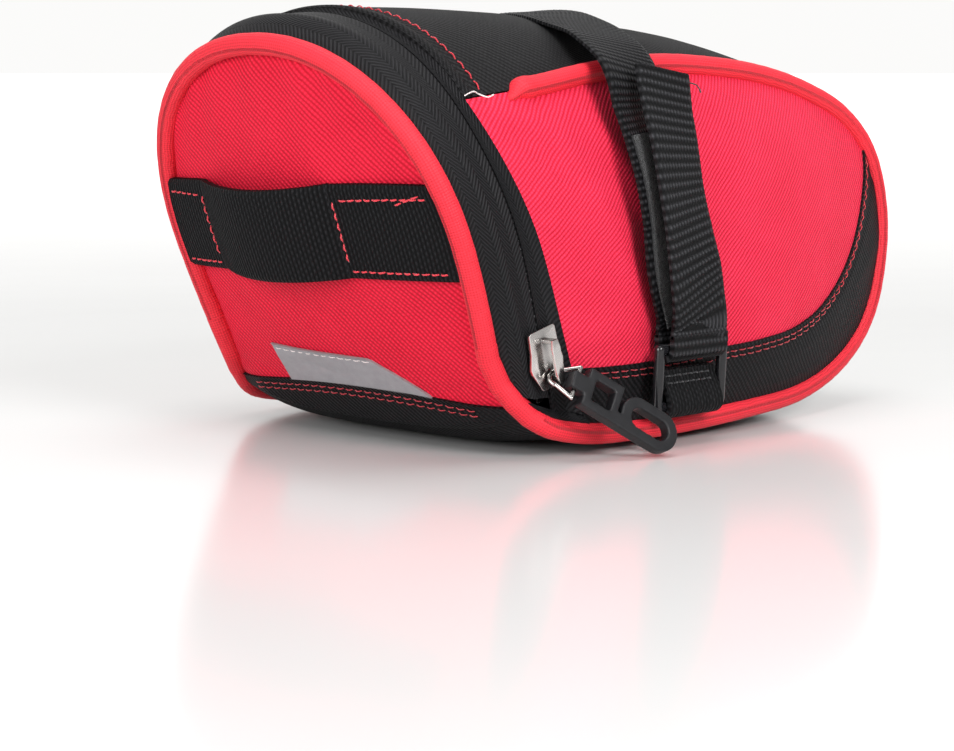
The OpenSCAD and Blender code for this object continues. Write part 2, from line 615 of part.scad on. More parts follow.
pin_at = ring_mid + ring_arm * ring_dir;
pin_half = 4;
module frame_of(o, x, y) {
    z = cross(x, y);
    multmatrix([[x.x, y.x, z.x, o.x], [x.y, y.y, z.y, o.y], [x.z, y.z, z.z, o.z], [0, 0, 0, 1]])
        children();
}
module pull_ring() {
    color("silver") frame_of(ring_mid, ring_dir, pin_dir) {
        rotate([0, 0, 90]) rotate_extrude(angle = 180, $fn = 48) translate([bend_r, 0])
            circle(r = wire_r, $fn = 24);
        for (side = [-1, 1]) {
            rod([0, side * bend_r, 0], [ring_arm, side * pin_half, 0], wire_r);
            knob([ring_arm, side * pin_half, 0], wire_r);
        }
        rod([ring_arm, -pin_half, 0], [ring_arm, pin_half, 0], wire_r);
    }
}

pull_t = 3;
pull_w = 9.6;
head_w = 4.2;
module pull_outline() {
    tip = pull_l - 2.2;
    difference() {
        union() {
            translate([-1.7, -head_w / 2]) square([5, head_w]);
            translate([2, -pull_w / 2]) square([9.6, pull_w]);
            translate([9, -pull_w / 2]) square([9, 3.2]);
            translate([17.2, 0]) circle(d = pull_w, $fn = 48);
            translate([tip - pull_w / 2, 0]) circle(d = pull_w, $fn = 48);
            translate([17.2, -pull_w / 2]) square([tip - pull_w / 2 - 17.2, pull_w]);
        }
        translate([4.2, -pull_w / 2 + 2.2]) square([5.4, pull_w - 4.4]);
        translate([17.6, 0]) circle(d = pull_w - 4.8, $fn = 48);
        translate([tip - pull_w / 2 - 0.2, 0]) circle(d = pull_w - 4.8, $fn = 48);
        translate([17.6, -pull_w / 2 + 2.4]) square([tip - pull_w / 2 - 17.8, pull_w - 4.8]);
    }
}
module zip_pull() {
    color(black) frame_of(pin_at, pull_dir, pin_dir) difference() {
        translate([0, 0, -pull_t / 2]) linear_extrude(pull_t) pull_outline();
        rotate([90, 0, 0]) cylinder(r = wire_r + 0.08, h = head_w + 2, center = true, $fn = 48);
    }
}

// Strip of the lower rear cloth that bends when the door opens
module door_fold() {
    color(black) sheet([for (i = [0:12]) let (u = mix(0.08, 0.92, i / 12), p = rear_face(u, 0),
                        q = wrap_pt(last_s, -0.94 + 1.88 * i / 12))
                        [for (k = [0.12, 0.5, 0.88]) mix(q, p, k) - [0, 0, 0.5 * sin(180 * k)]]],
                       0, skin_t);
}

side_panel();  // side_panel_right
mirror([1, 0, 0]) side_panel();  // side_panel_left
side_lower();  // side_lower_right
mirror([1, 0, 0]) side_lower();  // side_lower_left
top_panel();
bottom_panel();
side_layer(foam_d, foam_t, "dimgray");  // side_foam_right
mirror([1, 0, 0]) side_layer(foam_d, foam_t, "dimgray");  // side_foam_left
top_foam();
base_board();
side_layer(lining_d, lining_t, "gray");  // side_lining_right
mirror([1, 0, 0]) side_layer(lining_d, lining_t, "gray");  // side_lining_left
top_lining();
base_lining();
piping();  // piping_right
mirror([1, 0, 0]) piping();  // piping_left
piping_cord();  // piping_cord_right
mirror([1, 0, 0]) piping_cord();  // piping_cord_left
gusset_end();  // gusset_end_right
mirror([1, 0, 0]) gusset_end();  // gusset_end_left
zip_tape_body();
zip_coil_body();
zip_stops();
gusset_lip();
top_stitching();
side_stitching();  // side_stitching_right
mirror([1, 0, 0]) side_stitching();  // side_stitching_left
strap_band();
loop_tape();
strap_anchor();
ring_tab();
rear_panel();
rear_lower_panel();
rear_layer(foam_d, foam_t, 5, "dimgray");  // rear_foam
rear_layer(lining_d, lining_t, 6.5, "gray");  // rear_lining
rear_piping();
rear_piping_cord();
door_fold();
zip_tape_door();
zip_coil_door();
light_loop();
loop_stitching();
reflective_patch();
rear_stitching();
zip_slider();
pull_ring();
zip_pull();
strap_ring();
strap_fold();
strap_tail();
hook_tape();
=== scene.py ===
"""Looks of the saddle bag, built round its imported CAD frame.

Shape functions are in millimetres and follow part.scad; meshes are made in metres.
"""

import json
import math
import random

import bpy
import numpy as np
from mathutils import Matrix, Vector


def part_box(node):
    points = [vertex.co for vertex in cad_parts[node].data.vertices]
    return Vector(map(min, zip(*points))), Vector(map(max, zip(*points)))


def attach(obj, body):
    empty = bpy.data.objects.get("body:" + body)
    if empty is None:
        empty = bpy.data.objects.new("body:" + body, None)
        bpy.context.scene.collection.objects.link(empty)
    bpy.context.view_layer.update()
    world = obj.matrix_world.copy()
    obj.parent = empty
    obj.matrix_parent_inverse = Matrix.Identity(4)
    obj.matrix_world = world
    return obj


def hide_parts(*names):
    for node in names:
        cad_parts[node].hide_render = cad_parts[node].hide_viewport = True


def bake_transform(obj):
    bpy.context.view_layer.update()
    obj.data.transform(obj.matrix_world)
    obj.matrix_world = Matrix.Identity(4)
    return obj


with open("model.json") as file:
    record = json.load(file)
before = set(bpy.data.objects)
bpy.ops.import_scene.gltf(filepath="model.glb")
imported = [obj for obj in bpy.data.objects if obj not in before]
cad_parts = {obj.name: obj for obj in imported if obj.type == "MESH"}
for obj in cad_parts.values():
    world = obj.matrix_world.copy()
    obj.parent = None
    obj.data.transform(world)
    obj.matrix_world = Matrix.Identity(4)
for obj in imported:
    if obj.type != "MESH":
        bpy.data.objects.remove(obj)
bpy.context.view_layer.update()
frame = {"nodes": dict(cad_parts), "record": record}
random.seed(7)

MM = 0.001

# ---- Camera ----
CAM_POS = (0.4121, -0.4320, 0.0870)
CAM_AZ, CAM_DOWN = 44.3, 7.27       # degrees
SENSOR, FOCAL_SHARE = 36, 2.515723    # width in mm; focal length over width


def make_camera():
    data = bpy.data.cameras.new("camera")
    data.sensor_width = SENSOR
    data.lens = SENSOR * FOCAL_SHARE
    cam = bpy.data.objects.new("camera", data)
    a, p = math.radians(CAM_AZ), math.radians(CAM_DOWN)
    look = Vector((-math.sin(a) * math.cos(p), math.cos(a) * math.cos(p), -math.sin(p)))
    cam.location = CAM_POS
    cam.rotation_euler = look.to_track_quat("-Z", "Y").to_euler()
    bpy.context.scene.collection.objects.link(cam)
    bpy.context.scene.camera = cam


make_camera()

# ---- Driving sizes, from the frame ----
PIPING_R = 2.5
DRAWN_HALF_WIDTH, DRAWN_NOSE, DRAWN_HEIGHT = 54.0, 96.1, 101.35     # the sizes drawn at K = 1


def box_mm(node):
    return [np.array(v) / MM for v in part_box(node)]


KX = (box_mm("piping_right")[1][0] - PIPING_R) / DRAWN_HALF_WIDTH
KY = (box_mm("piping_right")[1][1] - PIPING_R) / DRAWN_NOSE
KZ = box_mm("top_panel")[1][2] / DRAWN_HEIGHT
K = np.array([KX, KY, KZ])

ARCH_Z, ARCH_N = 48 * KZ, 2.15      # foot and roundness of the arches
REAR = (48 * KX, 44.7 * KZ)         # half width and rise of each arch
ZIP = (51.2 * KX, 51.6 * KZ)
FRONT = (52.6 * KX, 53 * KZ)
REAR_FOOT, ZIP_FOOT, FRONT_FOOT = -43.8 * KY, -35.5 * KY, -26 * KY
REAR_SLOPE, ZIP_SLOPE, FRONT_SLOPE = 0.4, 0.265, 0.35
REAR_SLANT = 1.077                  # length up the rear panel over its height
CORNER_Z = 80.6 * KZ                # where the crown, the side and the gusset meet
FRONT_BASE_Z, REAR_BASE_Z, FOLD_Z = 4.8 * KZ, 10 * KZ, 5.3 * KZ
SKIN_T, FOAM_DEPTH = 1.1, 1.4       # cloth, and how deep the foam lies under it
STRAP_W, STRAP_T = 19.5, 1.3


# ---- Shape functions ----
def mix(a, b, t):
    return a + (b - a) * t


def ease(t):
    k = np.clip(t, 0, 1)
    return k * k * (3 - 2 * k)


def hill(x, width):
    """A smooth hump of height 1 at x = 0."""
    return np.exp(-((x / width) ** 2))


def unit(v):
    v = np.asarray(v, float)
    return v / np.maximum(np.linalg.norm(v, axis=-1, keepdims=True), 1e-9)


def pts(x, y, z):
    return np.stack(np.broadcast_arrays(x, y, z), axis=-1).astype(float)


def pair(a, b):
    """Two float arrays of one shape."""
    return np.broadcast_arrays(np.asarray(a, float), np.asarray(b, float))


def spline(points, s):
    """A smooth curve through points; s counts them from 0."""
    p = np.asarray(points, float)
    n = len(p)
    s = np.asarray(s, float)
    i = np.clip(np.floor(s).astype(int), 0, n - 2)
    f = (s - i)[..., None]
    a, b, c, d = p[np.maximum(i - 1, 0)], p[i], p[i + 1], p[np.minimum(i + 2, n - 1)]
    return 0.5 * (2 * b + (c - a) * f + (2 * a - 5 * b + 4 * c - d) * f**2
                  + (3 * b - a - 3 * c + d) * f**3)


def rear_y(z):
    return REAR_FOOT - REAR_SLOPE * z


def zip_y(z):
    return (ZIP_FOOT - ZIP_SLOPE * z - 3.2 * ease((z / KZ - 40) / 38)
            + 0.5 * ease((z / KZ - 80) / 20))


def front_y(z):
    return (FRONT_FOOT - FRONT_SLOPE * z - 3.4 * ease((z / KZ - 40) / 38)
            + 3.9 * ease((z / KZ - 78) / 23))


def tuck(z):
    """How far the rear outline draws in towards the base."""
    return 4 * KX * (np.maximum(ARCH_Z - z, 0) / 36) ** 1.6


def arch_x(z, size):
    rise = np.maximum(z - ARCH_Z, 0) / size[1]
    return size[0] * np.maximum(1 - rise**ARCH_N, 0) ** (1 / ARCH_N)


def arch_r(a, size):
    c, s = np.cos(np.radians(a)), np.sin(np.radians(a))
    above = ((np.abs(c) / size[0]) ** ARCH_N + (np.maximum(s, 0) / size[1]) ** ARCH_N)
    return np.where(a < 0, size[0] / np.maximum(c, 0.1), above ** (-1 / ARCH_N))


def arch_at(a, size):
    b = np.where(a > 90, 180 - a, a)
    r = arch_r(b, size)
    return (np.where(a > 90, -1, 1) * r * np.cos(np.radians(b)),
            ARCH_Z + r * np.sin(np.radians(b)))


def rear_pt(a):
    x, z = arch_at(a, REAR)
    return pts(x - np.sign(x) * tuck(z), rear_y(z), z)


def rear_side(z):
    return pts(arch_x(z, REAR) - tuck(z), rear_y(z), z)


def front_side(z):
    return pts(arch_x(z, FRONT), front_y(z), z)


def corner_angle():
    return math.degrees(math.atan2(CORNER_Z - ARCH_Z, arch_x(CORNER_Z, FRONT)))


# Edge seam of the right side: along the top, round the nose, back along the base
EDGE = np.vstack([
    front_side(CORNER_Z),
    np.array([
        [44.6, -38, 83.2], [45, -18, 86.4], [45.4, 2, 88.2], [45.5, 21, 87.8], [45.3, 41, 86],
        [45, 60, 82.2], [45, 78, 75.5], [45, 90.5, 64.5], [45, 96, 48], [45.5, 93.5, 31],
        [46.5, 86, 19.5], [48.5, 72, 11.2], [51, 53, 6.4], [53.2, 30, 5], [54, 5, 4.2],
        [53.6, -15, 4.2]]) * K,
    front_side(FRONT_BASE_Z),
    np.array([[51, -38, 6.9], [48.9, -43.2, 9.9]]) * K])
# Crown line in the bag's middle plane
CROWN = np.array([[0, y, z] for y, z in [
    (-60.85, 101), (-38, 101.3), (-16, 100.8), (6, 99.8), (27, 98), (47, 95), (66, 90),
    (83, 82.5), (95, 70), (100.5, 50), (98.5, 29), (90, 13), (75, 4), (55, 0.6), (32, 0),
    (5, 0), (-15, 0), (-28, 0.3), (-37, 1.4), (-42.6, 4.4)]]) * K
LAST_S, FRONT_S, NOSE_S = 19, 17, 10.6
NOSE_TOP_S, NOSE_BASE_S = 7.5, 11
NOSE_BLEND_S, NOSE_BLEND = 10.5, 2.5    # where the crown's section turns into the base's
SIDE_BULGE, STRAP_U = 7.5, 0.34
SEAM_V = [[v] for v in (0.2, 0.2, 0.2, 0.2, 0.21, 0.22, 0.245, 0.31, 0.44, 0.68, 0.93)]


def coons(b, t, l, r, u, v, b0, b1, t0, t1):
    u, v = u[..., None], v[..., None]
    return mix(b, t, v) + mix(l, r, u) - mix(mix(b0, b1, u), mix(t0, t1, u), v)


def puff(u, v):
    return np.maximum(np.sin(np.pi * u) * np.sin(np.pi * v), 0) ** 0.85


def press(u):
    """The strap's dent in a side."""
    return 1 - 0.4 * hill(u - STRAP_U, 0.13)


def side_pt(u, v):
    u, v = pair(u, v)
    base, top = (lambda t: spline(EDGE, mix(FRONT_S, NOSE_BASE_S, t)),
                 lambda t: spline(EDGE, mix(0, NOSE_TOP_S, t)))
    rear = front_side(mix(FRONT_BASE_Z, CORNER_Z, v))
    nose = spline(EDGE, mix(NOSE_BASE_S, NOSE_TOP_S, v))
    zero, one = np.array(0.0), np.array(1.0)
    p = coons(base(u), top(u), rear, nose, u, v, base(zero), base(one), top(zero), top(one))
    p[..., 0] += SIDE_BULGE * press(u) * puff(u, v)
    return p


def seam_v(u):
    return spline(SEAM_V, np.asarray(u, float) * 10)[..., 0]


def wrap_pt(s, q):
    s, q = pair(s, q)
    e, c = spline(EDGE, s), spline(CROWN, s)
    f = np.clip((s - NOSE_BLEND_S) / NOSE_BLEND, 0, 1)
    ax, az = arch_at(mix(90, corner_angle(), np.abs(q)), FRONT)
    lx = ax / arch_x(CORNER_Z, FRONT)
    lz = (az - CORNER_Z) / (ARCH_Z + FRONT[1] - CORNER_Z)
    x, h = mix(lx, np.abs(q), f), mix(lz, 1 - q**4, f)
    return pts(np.sign(q) * e[..., 0] * x, mix(e[..., 1], c[..., 1], h),
               mix(e[..., 2], c[..., 2], h))


TAPE_FLAT = 0.45        # share of each tape that keeps the zip's size


def tape_flare(f, power):
    return (np.maximum(f - TAPE_FLAT, 0) / (1 - TAPE_FLAT)) ** power


def tape_pt(a, f, y1, size, g):
    """Gusset: f runs from the zip to the front seam or to the rear piping."""
    b = np.where(a > 90, 180 - a, a)
    r = mix(arch_r(b, ZIP), arch_r(b, size), g)
    z = ARCH_Z + r * np.sin(np.radians(b))
    x = r * np.cos(np.radians(b)) - (g * tuck(z) if size is REAR else 0)
    return pts(np.where(a > 90, -1, 1) * x, mix(zip_y(z), y1(z), f), z)


def body_tape(a, f):
    a, f = pair(a, f)
    return tape_pt(a, f, front_y, FRONT, tape_flare(f, 2.5))


def door_tape(a, f):
    a, f = pair(a, f)
    return tape_pt(a, f, rear_y, REAR, tape_flare(f, 1.4))


FACE_OUT = unit([0, -1, -REAR_SLOPE])
SHOULDER_A = 45.0
SHOULDER_Z = float(arch_at(np.array(SHOULDER_A), REAR)[1])
REAR_BULGE = 5


def fold_line(u):
    q = 2 * np.asarray(u, float) - 1
    z = mix(FOLD_Z, REAR_BASE_Z, np.abs(q) ** 3)
    return pts(q * (REAR[0] - tuck(z)), rear_y(z), z)


def mirror(p):
    return p * np.array([-1, 1, 1])


def rear_face(u, v):
    u, v = pair(u, v)
    r = rear_side(mix(REAR_BASE_Z, SHOULDER_Z, v))
    t = rear_pt(mix(180 - SHOULDER_A, SHOULDER_A, u))
    c = rear_side(np.array(SHOULDER_Z))
    p = coons(fold_line(u), t, mirror(r), r, u, v, fold_line(0.0), fold_line(1.0), mirror(c), c)
    return p + FACE_OUT * (REAR_BULGE * puff(u, v))[..., None]


def rear_in(p, m):
    """The face drawn in so that its outline lies a margin m inside the door's."""
    dz = np.maximum(p[..., 2] - ARCH_Z, 0)
    edge = np.where(dz > 0, arch_r(np.degrees(np.arctan2(dz, np.abs(p[..., 0]))), REAR),
                    REAR[0] - tuck(p[..., 2]))
    k = 1 - m / edge
    return pts(p[..., 0] * k, p[..., 1] - REAR_SLOPE * (k - 1) * dz, p[..., 2] + dz * (k - 1))


def rear_seam_v(u):
    """Height share of the seam over the rear panel's black part."""
    return 0.1 - 0.08 * np.abs(2 * u - 1) ** 2.5


# The piping's turn from the base up to the door
TURN = np.array([[48.7, -43.6, 10.4], [47.6, -46.5, 13.2], [46.2, -49.7, 17.3]]) * K
TURN_A = -27            # where the turn meets the rear arch, in degrees


def to_corner(p, u):
    """Draws the ends of the door's lower cloth out to the piping where it turns forward."""
    way = np.vstack([EDGE[18:], TURN, rear_pt(np.array([TURN_A]))])
    x, y = (np.interp(p[..., 2], way[:, 2], way[:, k]) for k in (0, 1))
    q = 2 * u - 1
    goal = pts(np.sign(q) * x, y, p[..., 2])
    w = 0.8 * ease((np.abs(q) - 0.82) / 0.18) * ease((24 * KZ - p[..., 2]) / (8 * KZ))
    return mix(p, goal, w[..., None])


# ---- Meshes ----
def grid(nu, nv, u0=0.0, u1=1.0, v0=0.0, v1=1.0):
    return np.meshgrid(np.linspace(u0, u1, nu + 1), np.linspace(v0, v1, nv + 1), indexing="ij")


def normals(p):
    return unit(np.cross(np.gradient(p, axis=0), np.gradient(p, axis=1)))


def flat_uv(x, y):
    """UVs in millimetres from two coordinates."""
    return np.stack(np.broadcast_arrays(x, y), axis=-1)


def lengths(path):
    """Running length along a path."""
    return np.concatenate([[0], np.cumsum(np.linalg.norm(np.diff(path, axis=0), axis=1))])


def at_length(path, at, values=None):
    """A path's points, or values given at them, at lengths along it."""
    columns = (path if values is None else values).T
    return np.stack([np.interp(at, lengths(path), c) for c in columns], axis=-1)


def resample(path, step):
    path = np.asarray(path, float)
    total = lengths(path)[-1]
    at = np.linspace(0, total, max(int(round(total / step)), 2) + 1)
    return at_length(path, at), at


def add_object(name, data):
    obj = bpy.data.objects.new(name, data)
    bpy.context.scene.collection.objects.link(obj)
    return obj


def link(name, verts, faces, uvs, mat, sharp=38):
    """A mesh object from points in mm, with one UV per vertex, also in mm."""
    mesh = bpy.data.meshes.new(name)
    mesh.from_pydata((np.asarray(verts) * MM).tolist(), [], faces)
    layer = mesh.uv_layers.new(name="mm")
    loops = np.empty(len(mesh.loops), dtype=np.int64)
    mesh.loops.foreach_get("vertex_index", loops)
    layer.data.foreach_set("uv", np.asarray(uvs, float)[loops].ravel())
    mesh.polygons.foreach_set("use_smooth", [True] * len(mesh.polygons))
    mesh.set_sharp_from_angle(angle=math.radians(sharp))
    mesh.materials.append(mat)
    mesh.update()
    return add_object(name, mesh)


def quads(m, n, o=0, flip=False):
    i, j = np.meshgrid(np.arange(m - 1), np.arange(n - 1), indexing="ij")
    a = (o + i * n + j).ravel()
    q = np.stack([a, a + n, a + n + 1, a + 1], axis=1)
    return (q[:, ::-1] if flip else q).tolist()


def cloth(name, p, d0, d1, uv, mat, relief=None, inner_relief=None):
    """A closed sheet between depths d0 and d1 under the points p; relief lifts its outside."""
    m, n = p.shape[:2]
    nrm = normals(p)
    lift = np.zeros((m, n)) if relief is None else relief
    under = lift if inner_relief is None else inner_relief
    outer = p - nrm * (d0 - lift)[..., None]
    inner = p - nrm * (d1 - under)[..., None]
    o = m * n
    faces = quads(m, n) + quads(m, n, o, flip=True)
    walls = [(i * n + j, n, j == 0) for i in range(m - 1) for j in (0, n - 1)]
    walls += [(i * n + j, 1, i > 0) for j in range(n - 1) for i in (0, m - 1)]
    for a, step, out in walls:
        b = a + step
        faces.append([a, o + a, o + b, b] if out else [b, o + b, o + a, a])
    verts = np.vstack([outer.reshape(-1, 3), inner.reshape(-1, 3)])
    flat = np.asarray(uv, float).reshape(-1, 2)
    return link(name, verts, faces, np.vstack([flat, flat]), mat)


def path_frames(path):
    """Unit tangents and two normals along a path, without twist."""
    t = unit(np.gradient(path, axis=0))
    side = np.empty_like(path)
    start = np.cross(t[0], [0.31, 0.52, 0.79])
    side[0] = unit(start)
    for k in range(1, len(path)):
        v = side[k - 1] - t[k] * np.dot(side[k - 1], t[k])
        side[k] = unit(v)
    return t, side, np.cross(t, side)


END_BULGE = 0.55        # how far a tube's end stands out, over its radius


def tube_mesh(path, radius, sides=16, e1=None, e2=None, shape=None):
    """Vertices, faces and UVs of a round-ended tube. shape scales its two half-widths."""
    path = np.asarray(path, float)
    n = len(path)
    t, a, b = path_frames(path)
    if e1 is not None:
        a, b = e1, e2
    radius = np.broadcast_to(radius, n)
    scale = np.ones((n, 2)) if shape is None else shape
    ang = np.linspace(0, 2 * np.pi, sides, endpoint=False)
    ring = (np.cos(ang)[None, :, None] * a[:, None] * scale[:, None, :1]
            + np.sin(ang)[None, :, None] * b[:, None] * scale[:, None, 1:])
    verts = path[:, None] + ring * radius[:, None, None]
    length = lengths(path)
    uv = flat_uv(length[:, None], ang[None] * radius[:, None])
    faces = []
    for k in range(n - 1):
        for i in range(sides):
            p, q = k * sides + i, k * sides + (i + 1) % sides
            faces.append([p, q, q + sides, p + sides])
    ends = [path[0] - t[0] * radius[0] * END_BULGE, path[-1] + t[-1] * radius[-1] * END_BULGE]
    o = n * sides
    for i in range(sides):
        j = (i + 1) % sides
        faces.append([j, i, o])
        faces.append([o - sides + i, o - sides + j, o + 1])
    verts = np.vstack([verts.reshape(-1, 3), ends])
    uv = np.vstack([uv.reshape(-1, 2), [[0, 0], [length[-1], 0]]])
    return verts, faces, uv


def tube(name, path, radius, mat, sides=16, **more):
    verts, faces, uv = tube_mesh(path, radius, sides, **more)
    return link(name, verts, faces, uv, mat)


def join(name, parts, mat):
    verts, faces, uvs, o = [], [], [], 0
    for v, f, u in parts:
        verts.append(v)
        uvs.append(u)
        faces += [[i + o for i in face] for face in f]
        o += len(v)
    return link(name, np.vstack(verts), faces, np.vstack(uvs), mat)


STITCH_BOW = np.array([-0.32, 0.02, 0.85, 1, 0.85, 0.02, -0.32])


def stitches(name, rows, mat, pitch=3.1, stitch=2.4, r=0.2, lift=0.12):
    """One short bowed thread per stitch. rows are (path, outward normals) on the cloth."""
    parts = []
    bow = (STITCH_BOW * (lift + r))[:, None]
    sway = np.linspace(-1, 1, len(STITCH_BOW))[:, None]
    for path, out in rows:
        total = lengths(path)[-1]
        start = 0.2
        while start + stitch < total:
            end = start + stitch * random.uniform(0.93, 1.04)
            at = np.linspace(start, end, len(STITCH_BOW))
            p, n = at_length(path, at), unit(at_length(path, at, out))
            drift = np.cross(n, unit(np.gradient(p, axis=0))) * random.uniform(-0.09, 0.09)
            parts.append(tube_mesh(p + n * bow + drift * sway, r, 7))
            start += pitch
    return join(name, parts, mat)


def straight_row(q, out):
    """A stitch row through points that share one normal."""
    return q, np.repeat(unit(out)[None], len(q), axis=0)


def row_on(surface, line, t, step, height):
    """A stitch row on a surface along v = line(t), and its normals."""
    q = surface(t, line(t))
    n = unit(np.cross(np.gradient(q, axis=0), surface(t, line(t) + step) - q))
    return q + n * height, n


def bumps(u, v, seed, count, size):
    """Smooth seeded unevenness of cloth, from a few rounded dents and swells."""
    r = np.random.default_rng(seed)
    out = np.zeros(np.broadcast(u, v).shape)
    for _ in range(count):
        cu, cv, w, h = r.uniform(0, 1), r.uniform(0, 1), r.uniform(0.5, 1.3) * size, r.normal()
        ang = r.uniform(0, math.pi)
        a = (u - cu) * math.cos(ang) + (v - cv) * math.sin(ang)
        b = -(u - cu) * math.sin(ang) + (v - cv) * math.cos(ang)
        out += h * np.exp(-((a / w) ** 2) - (b / (w * 0.45)) ** 2)
    return out


# ---- Materials ----
class Shade:
    """A Principled material and short calls that add nodes to it."""

    def __init__(self, name, rough=0.6, metallic=0.0, spec=0.4, sheen=0.0, tint=(1, 1, 1)):
        self.mat = bpy.data.materials.new(name)
        self.mat.use_nodes = True
        self.tree = self.mat.node_tree
        self.bsdf = self.tree.nodes["Principled BSDF"]
        self.put("Roughness", rough)
        self.put("Metallic", metallic)
        self.put("Specular IOR Level", spec)
        self.put("Sheen Weight", sheen)
        self.put("Sheen Roughness", 0.4)
        self.put("Sheen Tint", (*tint, 1))

    def put(self, socket, value):
        self.bsdf.inputs[socket].default_value = value

    def feed(self, socket, value):
        """Links a socket, or sets its value."""
        if isinstance(value, bpy.types.NodeSocket):
            self.tree.links.new(value, socket)
        else:
            socket.default_value = value

    def node(self, kind, **inputs):
        n = self.tree.nodes.new("ShaderNode" + kind)
        for key, value in inputs.items():
            self.feed(n.inputs[0 if key == "first" else key], value)
        return n

    def math(self, op, a, b=0.0, c=0.0):
        n = self.tree.nodes.new("ShaderNodeMath")
        n.operation = op
        for k, value in enumerate((a, b, c)):
            self.feed(n.inputs[k], value)
        return n.outputs[0]

    def mul(self, a, b):
        return self.math("MULTIPLY", a, b)

    def madd(self, a, b, c):
        return self.math("MULTIPLY_ADD", a, b, c)

    def uv(self):
        """The mesh's own coordinates, in millimetres."""
        n = self.node("UVMap")
        n.uv_map = "mm"
        xyz = self.node("SeparateXYZ", first=n.outputs[0])
        return n.outputs[0], xyz.outputs[0], xyz.outputs[1]

    def place(self):
        """Object coordinates in millimetres."""
        n = self.node("TexCoord")
        m = self.node("VectorMath", first=n.outputs["Object"])
        m.operation = "SCALE"
        m.inputs["Scale"].default_value = 1000
        return m.outputs[0]

    def wave(self, coord, period, phase=0.0):
        a = self.madd(coord, 2 * math.pi / period, phase)
        return self.madd(self.math("SINE", a), 0.5, 0.5)

    def noise(self, vector, scale, detail=3.0, rough=0.55):
        return self.node("TexNoise", Vector=vector, Scale=scale, Detail=detail,
                         Roughness=rough).outputs[0]

    def blend(self, f, a, b):
        n = self.tree.nodes.new("ShaderNodeMix")
        n.data_type = "RGBA"
        for k, value in ((0, f), (6, (*a, 1)), (7, (*b, 1))):
            self.feed(n.inputs[k], value)
        return n.outputs[2]

    def colour(self, socket):
        self.tree.links.new(socket, self.bsdf.inputs["Base Color"])

    def roughness(self, socket, low, high):
        r = self.madd(socket, high - low, low)
        self.tree.links.new(r, self.bsdf.inputs["Roughness"])

    def bump(self, height, depth_mm, strength=1.0):
        b = self.node("Bump", Height=height, Distance=depth_mm * MM, Strength=strength)
        self.tree.links.new(b.outputs[0], self.bsdf.inputs["Normal"])


def twill(name, dark, light, pitch=1.0, depth=0.16, lean=1.0, rough=0.62, sheen=0.25,
          tint=(1, 1, 1)):
    """Diagonal twill: ribs of a pitch, each broken into the bumps of single threads."""
    s = Shade(name, rough, spec=0.12, sheen=sheen, tint=tint)
    vec, x, y = s.uv()
    wobble = s.madd(s.noise(vec, 0.22, 2), 0.9, 0.0)
    along = s.math("ADD", s.madd(y, lean, x), wobble)
    across = s.math("SUBTRACT", s.mul(x, lean), y)
    rib = s.wave(along, pitch * math.sqrt(2))
    dot = s.wave(across, pitch * 1.15, 0.7)
    height = s.madd(s.mul(rib, dot), 0.45,
                    s.mul(rib, 0.55))
    fine, broad = s.noise(vec, 3.2, 2), s.noise(vec, 0.06, 3)
    tone = s.madd(height, 0.85, s.mul(fine, 0.25))
    tone = s.madd(broad, 0.3, s.madd(tone, 1.05, -0.16))
    s.colour(s.blend(tone, dark, light))
    s.roughness(fine, rough - 0.1, rough + 0.12)
    s.bump(s.madd(fine, 0.2, height), depth)
    return s.mat


def plain_weave(name, dark, light, pitch=0.5, depth=0.07, rough=0.65, sheen=0.2,
                tint=(1, 1, 1)):
    """Fine crossed threads, as on binding cloth and linings."""
    s = Shade(name, rough, spec=0.35, sheen=sheen, tint=tint)
    vec, x, y = s.uv()
    a, b = s.wave(x, pitch), s.wave(y, pitch * 1.1)
    height = s.madd(a, 0.5, s.mul(b, 0.5))
    fine, broad = s.noise(vec, 2.5, 2), s.noise(vec, 0.09, 3)
    tone = s.madd(height, 0.75, s.mul(fine, 0.3))
    s.colour(s.blend(s.madd(broad, 0.3, s.math("ADD", tone, -0.12)), dark, light))
    s.roughness(fine, rough - 0.1, rough + 0.1)
    s.bump(s.madd(fine, 0.25, height), depth)
    return s.mat


def herringbone(name, dark, light, column=2.8, pitch=0.85):
    """Zip tape: chevron columns that run along it."""
    s = Shade(name, 0.5, spec=0.12, sheen=0.0)
    vec, x, y = s.uv()
    zig = s.math("PINGPONG", y, column)
    rib = s.wave(s.madd(zig, 1.25, x), pitch * 1.5)
    spine = s.math("ABSOLUTE", s.math("SUBTRACT", s.mul(zig, 2 / column), 1.0))
    height = s.math("SUBTRACT", rib, s.mul(s.math("POWER", spine, 8.0), 0.25))
    fine = s.noise(vec, 3.0, 2)
    tone = s.madd(height, 0.7, s.mul(fine, 0.35))
    s.colour(s.blend(tone, dark, light))
    s.roughness(fine, 0.42, 0.62)
    s.bump(s.madd(fine, 0.3, height), 0.14)
    return s.mat


def webbing_shade(name, dark, light, rib, warp, depth=0.2, shine=0.5):
    """Webbing: ribs across it, each crossed by warp threads."""
    s = Shade(name, shine, spec=0.1, sheen=0.0)
    vec, x, y = s.uv()
    ribs = s.wave(x, rib, -math.pi / 2)
    flip = s.mul(s.math("FLOOR", s.math("DIVIDE", x, rib)), math.pi)
    threads = s.madd(s.math(
        "SINE", s.madd(y, 2 * math.pi / warp, flip)), 0.5, 0.5)
    height = s.mul(ribs, s.madd(threads, 0.6, 0.4))
    fine = s.noise(vec, 3.5, 2)
    tone = s.madd(s.math("POWER", height, 1.6), 1.0, s.mul(fine, 0.15))
    s.colour(s.blend(tone, dark, light))
    s.roughness(fine, shine - 0.1, shine + 0.15)
    s.bump(s.madd(fine, 0.25, height), depth)
    return s.mat


